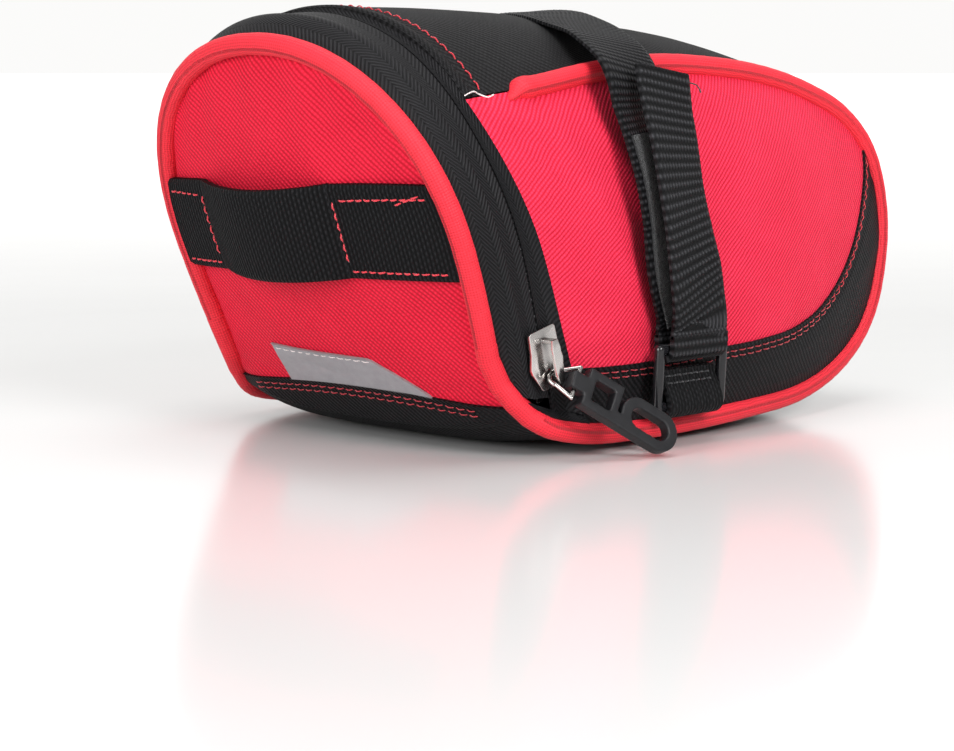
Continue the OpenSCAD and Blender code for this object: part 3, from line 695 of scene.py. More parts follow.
def grainy(name, dark, light, scale, depth, rough, metallic=0.0, spec=0.5, sheen=0.0):
    """Moulded or cast stuff, foam and pile: noise grain in object space."""
    s = Shade(name, rough, metallic, spec, sheen)
    at = s.place()
    fine, broad = s.noise(at, scale, 4), s.noise(at, scale * 0.12, 3)
    s.colour(s.blend(s.madd(broad, 0.6, s.mul(fine, 0.4)),
                     dark, light))
    s.roughness(broad, max(rough - 0.08, 0.02), rough + 0.1)
    s.bump(fine, depth)
    return s.mat


def cast_metal(name, dark, light):
    """Plated casting, dark where its parts shade each other."""
    s = Shade(name, 0.2, 1.0, 0.5)
    grain = s.noise(s.place(), 0.8, 3)
    shade = s.node("AmbientOcclusion", Distance=3 * MM).outputs["AO"]
    s.colour(s.blend(s.math("POWER", shade, 2.2), dark, light))
    s.roughness(grain, 0.14, 0.26)
    s.bump(grain, 0.01)
    return s.mat


def thread_shade(name, dark, light, turn=0.55):
    """Twisted sewing thread."""
    s = Shade(name, 0.5, spec=0.4, sheen=0.3)
    vec, x, y = s.uv()
    ply = s.wave(s.math("ADD", x, y), turn)
    s.colour(s.blend(s.madd(ply, 0.7, s.math(
        "MULTIPLY", s.noise(vec, 4, 2), 0.3)), dark, light))
    s.roughness(ply, 0.42, 0.6)
    s.bump(ply, 0.06)
    return s.mat


RED, DEEP_RED = (0.92, 0.022, 0.062), (0.42, 0.003, 0.016)
BLACK, GREY_BLACK = (0.001, 0.001, 0.0012), (0.015, 0.0145, 0.016)
M = {}


def shade(make, name, *values, **more):
    M[name] = make(name, *values, **more)


shade(twill, "red_cloth", DEEP_RED, RED, 1.15, 0.2, sheen=0.06, tint=(1, 0.5, 0.55))
# The sides' twill is finer and runs the other way; its lighter, pinker colour is painted light,
# standing in for the key lamp that falls on the sides.
shade(twill, "red_side", DEEP_RED, (0.96, 0.042, 0.105), 0.95, 0.17, -1.0, sheen=0.1,
      tint=(1, 0.5, 0.55))
shade(plain_weave, "red_piping", (0.46, 0.005, 0.014), (0.9, 0.026, 0.05), 0.62, 0.1, 0.6, 0.06,
      (1, 0.4, 0.4))
shade(thread_shade, "red_thread", (0.5, 0.01, 0.02), (0.95, 0.06, 0.09))
shade(thread_shade, "seam_thread", (0.32, 0.006, 0.014), (0.75, 0.035, 0.06))
shade(thread_shade, "pale_thread", (0.6, 0.5, 0.5), (0.95, 0.9, 0.88))
shade(thread_shade, "dark_thread", (0.01, 0.01, 0.012), (0.05, 0.05, 0.055))
shade(twill, "black_cloth", BLACK, GREY_BLACK, 1.1, 0.2, rough=0.55, sheen=0.0)
shade(twill, "ribbed_cloth", BLACK, (0.02, 0.0195, 0.021), 1.25, 0.24, -1.0, 0.6, 0.0)
shade(herringbone, "zip_tape", BLACK, (0.019, 0.0185, 0.0205))
shade(webbing_shade, "webbing", BLACK, (0.042, 0.042, 0.046), 2.1, 1.3, 0.5)
shade(webbing_shade, "band_webbing", BLACK, (0.026, 0.026, 0.029), 1.5, 1.1, 0.25, 0.42)
shade(webbing_shade, "loop_webbing", BLACK, (0.018, 0.018, 0.02), 1.13, 1.6, 0.4, 0.55)
shade(grainy, "hook_and_loop", BLACK, (0.03, 0.03, 0.033), 2.2, 0.5, 0.85, sheen=0.3)
shade(grainy, "cord", (0.55, 0.54, 0.5), (0.85, 0.84, 0.8), 1.5, 0.3, 0.85)
shade(grainy, "foam", (0.05, 0.05, 0.055), (0.1, 0.1, 0.105), 1.8, 0.3, 0.9)
shade(grainy, "lining_frame", (0.13, 0.13, 0.135), (0.28, 0.28, 0.29), 2.6, 0.12, 0.8)
shade(grainy, "board", (0.02, 0.02, 0.021), (0.05, 0.05, 0.052), 1.0, 0.15, 0.5)
shade(grainy, "zip_coil", (0.25, 0.25, 0.26), (0.62, 0.62, 0.64), 1.0, 0.03, 0.22)
shade(grainy, "nickel", (0.3, 0.285, 0.275), (0.62, 0.6, 0.58), 0.5, 0.004, 0.17, 1.0)
shade(cast_metal, "slider_nickel", (0.03, 0.028, 0.027), (0.74, 0.71, 0.69))
shade(grainy, "black_plastic", (0.004, 0.004, 0.005), (0.016, 0.016, 0.018), 3.0, 0.05, 0.42,
      spec=0.3)
shade(grainy, "ring_plastic", (0.005, 0.005, 0.006), (0.014, 0.014, 0.016), 1.2, 0.02, 0.16)
shade(grainy, "reflective", (0.24, 0.24, 0.255), (0.42, 0.42, 0.44), 4.5, 0.05, 0.38, 0.35)


def dress(obj, body, slot, *nodes):
    """Rides on a body and stands for CAD nodes; its slot is not used."""
    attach(obj, body)
    if nodes:
        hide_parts(*nodes)
    return obj


# ---- Side panels ----
# Creases that fan from the top corner, and long ones that run down: place, slope, width, height
FAN_CREASES = ((0, 0.9, 0.030, 0.55), (0.02, 1.6, 0.035, -0.6), (0.04, 2.6, 0.04, 0.35))
LONG_CREASES = ((0.10, 0.16, 0.022, 0.5), (0.15, 0.2, 0.026, -0.55), (0.2, 0.13, 0.02, 0.4),
                (0.47, -0.12, 0.03, -0.3))
SIDE_LONG, SIDE_HIGH = 125, 78      # rough size of a side, mm
SIDE_END, SIDE_TOP = 0.986, 0.985   # where a side's cloth goes under the piping
SIDE_DENT = FOAM_DEPTH - 0.25       # the deepest dent that keeps clear of the foam


def side_relief(u, v):
    """Soft creases, puckers at the seams, and the groove beside the piping."""
    down = 1 - v
    folds = -0.8 * hill(u - 0.235 - 0.05 * v, 0.035) * ease(v * 3) * ease(down * 4)
    for at, slope, width, high in FAN_CREASES:
        folds = folds + high * hill(down - slope * u - at, width) * ease((0.26 - u) / 0.2)
    for at, slope, width, high in LONG_CREASES:
        fade = ease((v - 0.22) / 0.3) * ease(down * 5)
        folds = folds + high * hill(u - at - slope * down, width) * fade
    seam = 0.22 * np.sin(v * 46 + 3 * np.sin(9 * v)) * hill(u, 0.05)
    nose = 0.2 * np.sin(v * 30) * hill(1 - u, 0.05)
    ends = np.minimum(1 - u, u + 0.2) * SIDE_LONG
    inset = np.minimum(ends, (down + 0.3 * (u < 0.12)) * SIDE_HIGH)
    folds = folds + seam + nose - 0.7 * hill(inset, 3.4) + 0.28 * bumps(u, v, 3, 26, 0.11)
    return np.maximum(folds, -SIDE_DENT)


def side_sheet(name, side, p, mat, lift):
    """A cloth on the bag's right side, or its mirror image on the left."""
    uv = flat_uv(p[..., 1], p[..., 2])
    if side == "left":
        p, uv, lift = mirror(p)[:, ::-1], uv[:, ::-1], lift[:, ::-1]
    return cloth(name + side, p, 0, SKIN_T, uv, mat, lift)


def side_pieces(side):
    u, k = grid(170, 90, 0.0, SIDE_END)
    v = mix(seam_v(u), mix(0.999, SIDE_TOP, ease((u * NOSE_TOP_S - 0.6) / 0.4)), k)
    lift = side_relief(u, v) * ease(u / 0.06) * ease((v - seam_v(u)) / 0.06)
    red = side_sheet("side_cloth_", side, side_pt(u, v), M["red_side"], lift)
    dress(red, "bag", "red_cloth", "side_panel_" + side)
    u, k = grid(150, 26, 0.0, SIDE_END)
    v = mix(0.012, seam_v(u) + 0.004, k)
    lift = (0.35 + 0.25 * (hill(k - 1, 0.05) - hill(k - 0.86, 0.03))
            + 0.15 * bumps(u, k, 5, 14, 0.16))
    low = side_sheet("side_band_", side, side_pt(u, v), M["black_cloth"], lift)
    dress(low, "bag", "black_cloth", "side_lower_" + side)
    t = np.linspace(0.015, 0.965, 160)
    rows = [row_on(side_pt, lambda u: seam_v(u) - off, t, 0.004, 0.45) for off in (0.014, 0.031)]
    if side == "left":
        rows = [(mirror(q), mirror(n)) for q, n in rows]
    thread = stitches("side_seam_threads_" + side, rows, M["seam_thread"], 3.0, 2.2, 0.13)
    dress(thread, "bag", "red_thread", "side_stitching_" + side)


# ---- Crown, nose and base ----
WRAP_EDGE = 0.995       # where the crown's and the base's cloth goes under the piping
WRAP_HALF = 46          # half the crown's width along its arch, mm, for its weave


def crown_relief(s, q):
    """The strap's trench across the crown, a sag ahead of it, and uneven cloth."""
    inside = 1 - np.abs(q)
    strap = np.exp(-(((s - 3.33 + q) / 0.68) ** 4))
    uneven = 0.35 * bumps(s / NOSE_S, (q + 1) / 2, 11, 22, 0.13) * (1 - strap)
    lift = uneven - 0.25 * hill(s - 0.18, 0.06) - 0.75 * hill(s - 6.2, 1.9) * ease(inside / 0.4)
    lift = (lift - 1.38 * strap) * ease(inside / 0.15) + 0.15 * (1 - strap)
    return np.maximum(lift, 0.04 - FOAM_DEPTH)


def wrap_pieces():
    s, q = grid(210, 110, 0.0, NOSE_S + 0.02, WRAP_EDGE, -WRAP_EDGE)
    p = wrap_pt(s, q)
    uv = flat_uv(q * WRAP_HALF, lengths(p[:, 55])[:, None])
    top = cloth("crown_cloth", p, 0, SKIN_T, uv, M["ribbed_cloth"], crown_relief(s, q))
    dress(top, "bag", "ribbed_cloth", "top_panel")
    s, q = grid(120, 70, NOSE_S - 0.02, LAST_S, WRAP_EDGE, -WRAP_EDGE)
    p = wrap_pt(s, q)
    dents = np.minimum(0.12 * bumps(s / 20, q, 12, 10, 0.2), 0)
    base = cloth("base_cloth", p, 0, SKIN_T, flat_uv(p[..., 0], p[..., 1]), M["ribbed_cloth"],
                 dents)
    dress(base, "bag", "ribbed_cloth", "bottom_panel")


def crown_seams():
    """Turned lip of the gusset and the single row of red stitches ahead of it."""
    s, q = grid(6, 120, 0.03, 0.2, 0.99, -0.99)
    p = wrap_pt(s, q)
    lift = 0.5 * np.sin(np.pi * np.clip((s - 0.03) / 0.17, 0, 1)) ** 0.5 + 0.1
    uv = flat_uv(q * WRAP_HALF, s * 22)
    lip = cloth("gusset_fold", p, -0.1, 0.5, uv, M["black_cloth"], lift)
    dress(lip, "bag", "zip_tape", "gusset_lip")
    t = np.linspace(0.97, -0.97, 220)
    row = row_on(lambda q, s: wrap_pt(s, q), lambda q: 0.33, t, -0.01, 0.3)
    thread = stitches("crown_threads", [row], M["seam_thread"], 3.1, 2.5, 0.16)
    dress(thread, "bag", "red_thread", "top_stitching")


# ---- Piping ----
PIPING_SIDES = 22


def pipe_link(name, side, parts):
    """A piping's mesh on the right side, or its mirror image on the left."""
    verts, faces, uv = parts
    if side == "left":
        verts, faces = mirror(verts), [face[::-1] for face in faces]
    return link(name + side, verts, faces, uv, M["red_piping"])


def wrinkled(n, fast, slow):
    """Piping radii with fine wrinkles."""
    k = np.arange(n)
    return PIPING_R * (1 + 0.012 * np.sin(k * fast) * np.sin(k * slow))


def piping_pieces(side):
    s = np.concatenate([np.linspace(0.66, 1.2, 40)[:-1], np.linspace(1.2, LAST_S - 0.35, 400)])
    path = spline(EDGE, s)
    grow = ease((s - 0.64) / 0.2)
    shape = np.stack([mix(0.55, 1, grow), mix(0.3, 1, grow)], axis=1)
    path[:, 2] -= 1.6 * (1 - grow)
    path[:, 0] += 0.4 * (1 - grow)
    t = unit(np.gradient(path, axis=0))
    out = unit(np.cross(np.array([1.0, 0, 0]), t))
    wide = np.cross(t, out)
    radius = wrinkled(len(s), 0.9, 0.23) * (1 + 0.12 * hill(s - 0.88, 0.09))
    parts = tube_mesh(path, radius, PIPING_SIDES, wide, out, shape)
    dress(pipe_link("piping_cloth_", side, parts), "bag", "red_piping", "piping_" + side)
    corner_path, _ = resample(np.vstack([
        spline(EDGE, np.linspace(LAST_S - 0.5, LAST_S - 0.02, 10)), TURN,
        rear_pt(np.linspace(TURN_A, TURN_A + 3, 3))]), 0.6)
    parts = tube_mesh(corner_path, PIPING_R + 0.06, PIPING_SIDES)
    corner = pipe_link("piping_corner_", side, parts)
    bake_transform(corner)


def rear_piping_piece():
    arch = rear_pt(np.linspace(TURN_A, 180 - TURN_A, 160))
    path, _ = resample(np.vstack([TURN[2:], arch, mirror(TURN[2:])]), 0.8)
    t = unit(np.gradient(path, axis=0))
    wide = unit(np.cross(t, FACE_OUT[None]))
    out = np.cross(wide, t)
    pipe = tube("rear_piping_cloth", path, wrinkled(len(path), 0.8, 0.19), M["red_piping"],
                PIPING_SIDES, e1=out, e2=wide)
    dress(pipe, "door", "red_piping", "rear_piping")


# ---- Gusset and zip ----
SLIT = 0.32                         # half the gap between the tapes, mm
BODY_A, DOOR_A = -36.4, -33.5       # where the tapes end, in degrees below the arch's foot
TAPE_T, WIRE_R = 0.9, 0.3
COIL_PITCH, COIL_REACH, COIL_DEPTH = 2.0, 1.35, 0.62


def tape_piece(name, f, f0, f1, a0, node, body, width, rows):
    """A zip tape between the shares f0 and f1, with a lip beside the slit."""
    a, k = grid(300, rows, a0, 180 - a0)
    p = f(a, mix(f0, f1, k))
    lip = 0.35 * hill(k - (1 if body == "bag" else 0), 0.12)
    tape = cloth(name, p, 0, TAPE_T, flat_uv(lengths(p[:, rows // 2])[:, None], k * width),
                 M["zip_tape"], lip + 0.1 * bumps(a / 250 + 0.2, k, 21, 16, 0.1))
    dress(tape, body, "zip_tape", node)


def gusset_pieces():
    tape_piece("body_tape_cloth", body_tape, 1.0, SLIT / 6.0, BODY_A, "zip_tape_body", "bag",
               6.5, 14)
    tape_piece("door_tape_cloth", door_tape, SLIT / 15.0, 0.95, DOOR_A, "zip_tape_door", "door",
               15, 30)


def gusset_corner(side):
    """Black cloth from the ends of the zip's tapes down to the piping's turn."""
    t, k = grid(40, 14)
    a = mix(-33.9, -36.6, ease(t))
    top = np.where((t < 0.6)[..., None], door_tape(a, mix(0.93, 0.0, np.minimum(t / 0.6, 1))),
                   body_tape(a, np.clip((t - 0.6) / 0.4, 0, 1)))
    low = spline(np.vstack([TURN[1::-1], EDGE[18], EDGE[17]]), 3 * t) + np.array([1.0, 0.3, 0.9])
    p = mix(top, low, k[..., None])
    p[..., 0] += 0.8 * np.sin(np.pi * k) - 0.2
    uv = np.stack([k * 9, t * 24], axis=-1)
    if side == "left":
        p, uv = mirror(p)[::-1], uv[::-1]
    obj = cloth("gusset_corner_" + side, p[:, ::-1], 0, TAPE_T, uv[:, ::-1], M["zip_tape"])
    dress(obj, "bag", "zip_tape", "gusset_end_" + side)


def coil(name, side, node, body):
    """Nylon coil that is wound along the zip and reaches across the slit."""
    path, at = resample(body_tape(np.linspace(-30, 210, 600), 0.0), 0.16)
    outward = unit(path * [1, 0, 1] - [0, 0, ARCH_Z])
    turn = 2 * np.pi * (at / COIL_PITCH) + (0 if side > 0 else np.pi)
    p = path - outward * (0.42 + COIL_DEPTH * (1 - np.sin(turn)))[:, None]
    p[:, 1] += side * (0.55 + COIL_REACH * 0.5 * np.cos(turn))
    obj = tube(name, p, WIRE_R, M["zip_coil"], 6)
    dress(obj, body, "zip_coil", node)


# ---- Door ----
REAR_WIDE, REAR_HIGH = 96, 80       # rough size of the rear panel, mm


def rear_relief(u, v):
    """Puckers at the seams, a dent under the loop, and the groove beside the piping."""
    top = 0.5 * np.sin(u * 44 + 2 * np.sin(7 * u)) * hill(1 - v, 0.2)
    sides = 0.16 * np.sin(v * 38) * (hill(u, 0.05) + hill(1 - u, 0.05))
    under = -0.5 * hill(v - 0.33, 0.05) * ease((u - 0.1) * 4)
    soft = top + sides + under - 0.28 * hill(v - 0.1, 0.02) + 0.3 * bumps(u, v, 31, 24, 0.12)
    inset = np.minimum(np.minimum(u, 1 - u) * REAR_WIDE, (1 - v) * REAR_HIGH)
    return soft * np.minimum(puff(u, np.clip(v, 0, 1)) ** 0.3, 1) - 0.9 * hill(inset, 3.2)


def rear_uv(p):
    return flat_uv(p[..., 0], p[..., 2] * REAR_SLANT)


def door_pieces():
    u, k = grid(150, 130, 0.003, 0.997)
    p = to_corner(rear_in(rear_face(u, mix(rear_seam_v(u), 0.998, k)), 0.9), u)
    lift = rear_relief(u, mix(rear_seam_v(u), 1, k))
    red = cloth("rear_cloth", p, 0, SKIN_T, rear_uv(p), M["red_cloth"], lift)
    dress(red, "door", "red_cloth", "rear_panel")
    u, k = grid(140, 14, 0.0, 1.0)
    p = to_corner(rear_in(rear_face(u, mix(-0.004, rear_seam_v(u) + 0.004, k)), 0.4), u)
    low = cloth("rear_base_cloth", p, 0, SKIN_T, rear_uv(p), M["black_cloth"],
                0.3 + 0.3 * hill(k - 1, 0.1))
    dress(low, "door", "black_cloth", "rear_lower_panel")
    t = np.linspace(0.06, 0.94, 160)
    rows = [row_on(rear_face, lambda u: rear_seam_v(u) - off, t, 0.01, 0.5)
            for off in (0.014, 0.03)]
    thread = stitches("rear_seam_threads", rows, M["seam_thread"], 3.2, 2.3, 0.13)
    dress(thread, "door", "red_thread", "rear_stitching")


def fold_piece():
    """Cloth across the join where the door meets the base, sagging a little between them."""
    u, k = grid(70, 12, 0.0, 1.0, -0.1, 1.05)
    q = wrap_pt(LAST_S, -0.99 + 1.98 * u)
    p = mix(q, to_corner(rear_face(u, 0.0), u), k[..., None])
    p[..., 2] -= 0.5 * np.sin(np.pi * np.clip(k, 0, 1))
    fold = cloth("door_hinge_cloth", p, 0, SKIN_T, flat_uv(p[..., 0], k * 5), M["black_cloth"])
    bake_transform(fold)
    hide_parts("door_fold")


# ---- Light loop and patch ----
LOOP_W, LOOP_V, LOOP_RISE, LOOP_T = 22.5, 0.545, 4.5, 1.4
FREE_U0, FREE_U1 = 0.2, 0.66        # between these the loop stands free
LOOP_RIB = 1.13


def rib_wave(x, pitch):
    """Ribs of webbing, lowest at x = 0."""
    return 0.5 + 0.5 * np.cos(2 * np.pi * (x / pitch - 0.5))


def loop_pt(u, k):
    """The light loop's underside; k runs over its width from -1 to 1."""
    u, k = pair(u, k)
    out = (2 * u - 1) ** 2
    half = (LOOP_W * math.cos(math.atan(REAR_SLOPE)) / 2
            / mix(ARCH_Z + REAR[1] - FOLD_Z, SHOULDER_Z - REAR_BASE_Z, out))
    mid = LOOP_V + 0.035 * out + 0.008 * (2 * u - 1)
    free = np.clip((u - FREE_U0) / (FREE_U1 - FREE_U0), 0, 1)
    rise = LOOP_RISE * np.sin(np.pi * free) ** 0.8
    return rear_face(u, mid + half * k) + FACE_OUT * rise[..., None]


def loop_pieces():
    u, k = grid(340, 60, 0.012, 0.988, -1, 1)
    p = loop_pt(u, k)
    x, y = np.broadcast_arrays(lengths(p[:, 30])[:, None], k * LOOP_W / 2)
    selvedge = ease((1 - np.abs(k)) / 0.09)
    lift = 0.13 * rib_wave(x, LOOP_RIB) * selvedge - 0.35 * (1 - selvedge) + 0.05
    loop = cloth("light_loop_webbing", p, -LOOP_T - 0.2, -0.2, flat_uv(x, y),
                 M["loop_webbing"], lift, 0 * lift)
    dress(loop, "door", "webbing", "light_loop")
    high_far, high_near, low = 0.74, 0.68, -0.83
    corners = []
    for near, far in ((0.185, 0.03), (0.675, 0.962)):
        corners += [((far, high_far), (near, high_near)), ((near, high_near), (near, low)),
                    ((near, low), (far, low))]
    corners.append(((0.86, 0.6), (0.962, 0.86)))
    rows = []
    for (u0, k0), (u1, k1) in corners:
        t = np.linspace(0, 1, 60)
        q = loop_pt(mix(u0, u1, t), mix(k0, k1, t)) + FACE_OUT * (LOOP_T + 0.22)
        rows.append(straight_row(q, FACE_OUT))
    thread = stitches("loop_threads", rows, M["red_thread"], 2.5, 2.15, 0.22, 0.12)
    dress(thread, "door", "red_thread", "loop_stitching")


def patch_pt(i, k):
    """The reflective patch: i runs along it and k up it, both from 0 to 1."""
    u = mix(mix(0.244, 0.231, k), mix(0.79, 0.6, k), i)
    return rear_face(u, mix(rear_seam_v(u) + 0.002, mix(0.2, 0.192, i), k))


def patch_piece():
    i, k = grid(70, 30)
    p = patch_pt(i, k)
    patch = cloth("reflective_tape", p, -0.6, -0.05, flat_uv(p[..., 0], p[..., 2]),
                  M["reflective"], 0.25 * hill(k - 1, 0.04) + 0.12 * bumps(i, k, 41, 8, 0.3))
    dress(patch, "door", "reflective", "reflective_patch")
    q = patch_pt(np.linspace(0.02, 0.97, 80), 0.88) + FACE_OUT * 0.62
    thread = stitches("patch_threads", [straight_row(q, FACE_OUT)], M["pale_thread"], 2.8, 2.1,
                      0.14, 0.08)
    dress(thread, "door", "red_thread")


# ---- Strap ----
RING_R, RING_H, RING_LEAN = 1.3, 13.5, math.radians(3)
ring_lo, ring_hi = box_mm("strap_ring")
RING_Y = (ring_lo[1] + ring_hi[1]) / 2
LOW_BAR = np.array([ring_lo[0] + RING_R, RING_Y, ring_lo[2] + RING_R])
HIGH_BAR = LOW_BAR + RING_H * np.array([math.sin(RING_LEAN), 0, math.cos(RING_LEAN)])
LEG, STUB = RING_R + 0.35 + STRAP_T / 2, 2.2
BAND_WEAVE, TAIL_WEAVE = (1.5, 1.1), (2.1, 1.3)     # rib and warp pitches
BAND = np.vstack([np.array([
    [-57.6, 6, 13], [-60, 6, 30], [-60.2, 7, 48], [-57.8, 9, 66], [-52.8, 11, 82],
    [-47.6, 12, 91.4], [-38, 12.6, 96], [-24, 13, 99.1], [-8, 11.5, 100.4],
    [8, 5.5, 100.4], [22, -1.4, 98.7], [34, -6.4, 96], [43.6, -10.4, 92.9],
    [51.8, -13.2, 86.9], [54.1, -13.6, 79], [56.7, -12.6, 71], [58.7, -11.2, 63],
    [59.8, -9.6, 54], [60, -7.2, 43]]) * K,
    [HIGH_BAR + [-LEG, 0, rise] for rise in (8, 5, STUB + 0.3)]])
TAIL = np.vstack([
    [HIGH_BAR + [LEG, 0, rise] for rise in (STUB + 0.3, 4.6, 7)],
    np.array([[65.2, -4.6, 40], [64.8, -6.8, 50], [63.6, -8.2, 60], [61.6, -8.4, 70],
              [58.6, -7.8, 79], [56.2, -6.8, 87]]) * K])


def strap_at(path, s, k):
    s, k = pair(s, k)
    p = spline(path, s)
    t = unit(spline(path, np.minimum(s + 0.05, len(path) - 1))
             - spline(path, np.maximum(s - 0.05, 0)))
    z = p[..., 2] / KZ
    lean = (np.where(p[..., 0] > 0, 0.2, 0.12) * ease((z - 28) / 26) * ease((94 - z) / 8)
            - 0.12 * ease((z - 93) / 5))
    out = unit(pts(p[..., 0] / 55, lean, np.maximum(p[..., 2] - 50, 0) / 30))
    return p + unit(np.cross(out, t)) * k[..., None]


def woven(x, y, rib, warp):
    """Height of webbing: ribs across it, each crossed by warp threads."""
    warps = 0.5 + 0.5 * np.sin(2 * np.pi * y / warp + np.pi * np.floor(x / rib))
    return rib_wave(x, rib) * (0.45 + 0.55 * warps)


def webbing(name, path, mat, weave, depth, rows, cols):
    s, k = grid(rows, cols, 0, len(path) - 1, -STRAP_W / 2, STRAP_W / 2)
    p = strap_at(path, s, k)
    x, y = np.broadcast_arrays(lengths(p[:, cols // 2])[:, None], k)
    inside = ease((STRAP_W / 2 - np.abs(k)) / 1.2)
    lift = depth * woven(x, y, *weave) * inside - 0.3 * (1 - inside)
    return cloth(name, p, -STRAP_T / 2, STRAP_T / 2, flat_uv(x, y), mat, lift, -lift)


def strap_pieces():
    n, m = len(BAND) - 1, len(TAIL) - 1
    band = webbing("band_webbing", BAND, M["band_webbing"], BAND_WEAVE, 0.12, 640, 44)
    dress(band, "bag", "webbing", "strap_band")
    tail = webbing("tail_webbing", TAIL, M["webbing"], TAIL_WEAVE, 0.34, 260, 90)
    dress(tail, "strap_tail", "webbing", "strap_tail")
    for name, path, s0, s1, sign, body in (
            ("loop_pile", BAND, n - 6.2, n - 2, 1, "bag"),
            ("hook_pile", TAIL, 2.4, m - 0.1, -1, "strap_tail")):
        s, k = grid(150, 34, s0, s1, -8, 8)
        p = strap_at(path, s, k)
        fuzz = np.random.default_rng(5).uniform(-0.12, 0.12, s.shape)
        d = STRAP_T / 2 + 0.08
        lo, hi = (-d - 0.5, -d) if sign > 0 else (d, d + 0.5)
        pile = cloth(name, p, lo, hi, flat_uv(s * 10, k), M["hook_and_loop"], fuzz * (sign > 0),
                     fuzz * (sign < 0))
        dress(pile, body, "hook_and_loop", "loop_tape" if sign > 0 else "hook_tape")


def fold_webbing():
    """The strap's turn round the ring's upper bar."""
    line = [[-LEG, z] for z in np.linspace(STUB + 0.9, 0, 6)]
    line += [[-LEG * math.cos(a), -LEG * math.sin(a)] for a in np.linspace(0, math.pi, 26)[1:-1]]
    line += [[LEG, z] for z in np.linspace(0, STUB + 0.9, 6)]
    line, _ = resample(np.array([[x, 0, z] for x, z in line]), 0.3)
    k = np.linspace(-STRAP_W / 2, STRAP_W / 2, 45)
    p = HIGH_BAR + line[:, None] + np.array([0, 1, 0]) * k[None, :, None]
    x, y = np.broadcast_arrays((np.arange(len(line)) * 0.3)[:, None], k)
    lift = 0.22 * woven(x, y, *TAIL_WEAVE)
    fold = cloth("fold_webbing", p, -STRAP_T / 2, STRAP_T / 2, flat_uv(x, y),
                 M["webbing"], lift * 0.4, -lift)
    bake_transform(fold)
    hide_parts("strap_fold")


TAB_FRONT, TAB_BACK = 8.6, 8.4      # heights of the tab's two ends above the lower bar


def tab_piece():
    """Folded tab of webbing that holds the ring, sewn across with two rows."""
    r = RING_R + 0.85
    up = [[-r, z] for z in np.linspace(TAB_FRONT, 0, 14)]
    turn = [[-r * math.cos(a), -r * math.sin(a)] for a in np.linspace(0, math.pi, 22)[1:-1]]
    back = [[mix(r, -r + 1.3, ease(t)), TAB_BACK * t] for t in np.linspace(0, 1, 16)]
    line, at = resample(np.array([[x, 0, z] for x, z in up + turn + back]), 0.3)
    k = np.linspace(-(STRAP_W - 0.5) / 2, (STRAP_W - 0.5) / 2, 60)
    p = LOW_BAR + line[:, None] + np.array([0, 1, 0]) * k[None, :, None]
    x, y = np.broadcast_arrays(at[:, None], k)
    ribs = 0.5 + 0.5 * np.cos(2 * np.pi * y / 0.9)
    tab = cloth("tab_webbing", p, -0.6, 0.6, flat_uv(y, x), M["loop_webbing"], 0 * x,
                -0.1 * ribs)
    dress(tab, "bag", "webbing", "ring_tab")
    rows = []
    for z in (5.4, 7.0):
        y = np.linspace(1.2 - STRAP_W / 2, STRAP_W / 2 - 1.2, 40)
        q = LOW_BAR + pts(mix(r, -r + 1.3, ease(z / TAB_BACK)) + 0.75, y, z)
        rows.append(straight_row(q, [1, 0, 0.35]))
    thread = stitches("tab_threads", rows, M["dark_thread"], 2.0, 1.5, 0.2, 0.12)
    dress(thread, "bag", "red_thread")


def anchor_piece():
    lo, hi = box_mm("strap_anchor")
    y, z = grid(50, 30, lo[1], hi[1], lo[2] - 0.5, hi[2] + 2.2)
    x = np.full_like(y, lo[0]) - 0.1
    p = pts(x, y, z)
    rib = 0.5 + 0.5 * np.cos(2 * np.pi * z / 1.5)
    obj = cloth("anchor_webbing", p[::-1], 0, hi[0] - lo[0], flat_uv(z, y),
                M["band_webbing"], 0.12 * rib)
    dress(obj, "bag", "webbing", "strap_anchor")
    rows = []
    for level in (9.2, 11.0):
        t = np.linspace(lo[1] + 1, hi[1] - 1, 40)
        rows.append(straight_row(pts(x[0, 0] - 0.1, t, level), [-1, 0, 0]))
    dress(stitches("anchor_threads", rows, M["dark_thread"], 2.0, 1.5, 0.2), "bag", "red_thread")


# ---- Hardware ----
def cad_copy(node, name, mat, shape, sharp=None):
    """A copy of a CAD solid that modifiers have shaped."""
    src = frame["nodes"][node]
    obj = add_object(name, src.data.copy())
    obj.matrix_world = src.matrix_world
    bpy.context.view_layer.update()
    shape(obj.modifiers)
    graph = bpy.context.evaluated_depsgraph_get()
    mesh = bpy.data.meshes.new_from_object(obj.evaluated_get(graph))
    mesh.name = name
    mesh.transform(obj.matrix_world)
    bpy.data.objects.remove(obj)
    mesh.materials.clear()
    mesh.materials.append(mat)
    mesh.polygons.foreach_set("use_smooth", [True] * len(mesh.polygons))
    if sharp:
        mesh.set_sharp_from_angle(angle=math.radians(sharp))
    return add_object(name, mesh)


def moulded(voxel, smooth):
    """Rounds a solid like moulded plastic."""
    def shape(modifiers):
        m = modifiers.new("remesh", "REMESH")
        m.mode = "VOXEL"
        m.voxel_size = voxel * MM
        s = modifiers.new("smooth", "SMOOTH")
        s.iterations = smooth
        s.factor = 0.5
    return shape


def cast(modifiers):
    """Small rounded edges, as on cast metal."""
    modifiers.new("weld", "WELD").merge_threshold = 0.01 * MM
    flat = modifiers.new("flat", "DECIMATE")
    flat.decimate_type = "DISSOLVE"
    flat.angle_limit = math.radians(4)
    bevel = modifiers.new("bevel", "BEVEL")
    bevel.width = 0.15 * MM
    bevel.segments = 3
    bevel.limit_method = "ANGLE"
    bevel.angle_limit = math.radians(35)


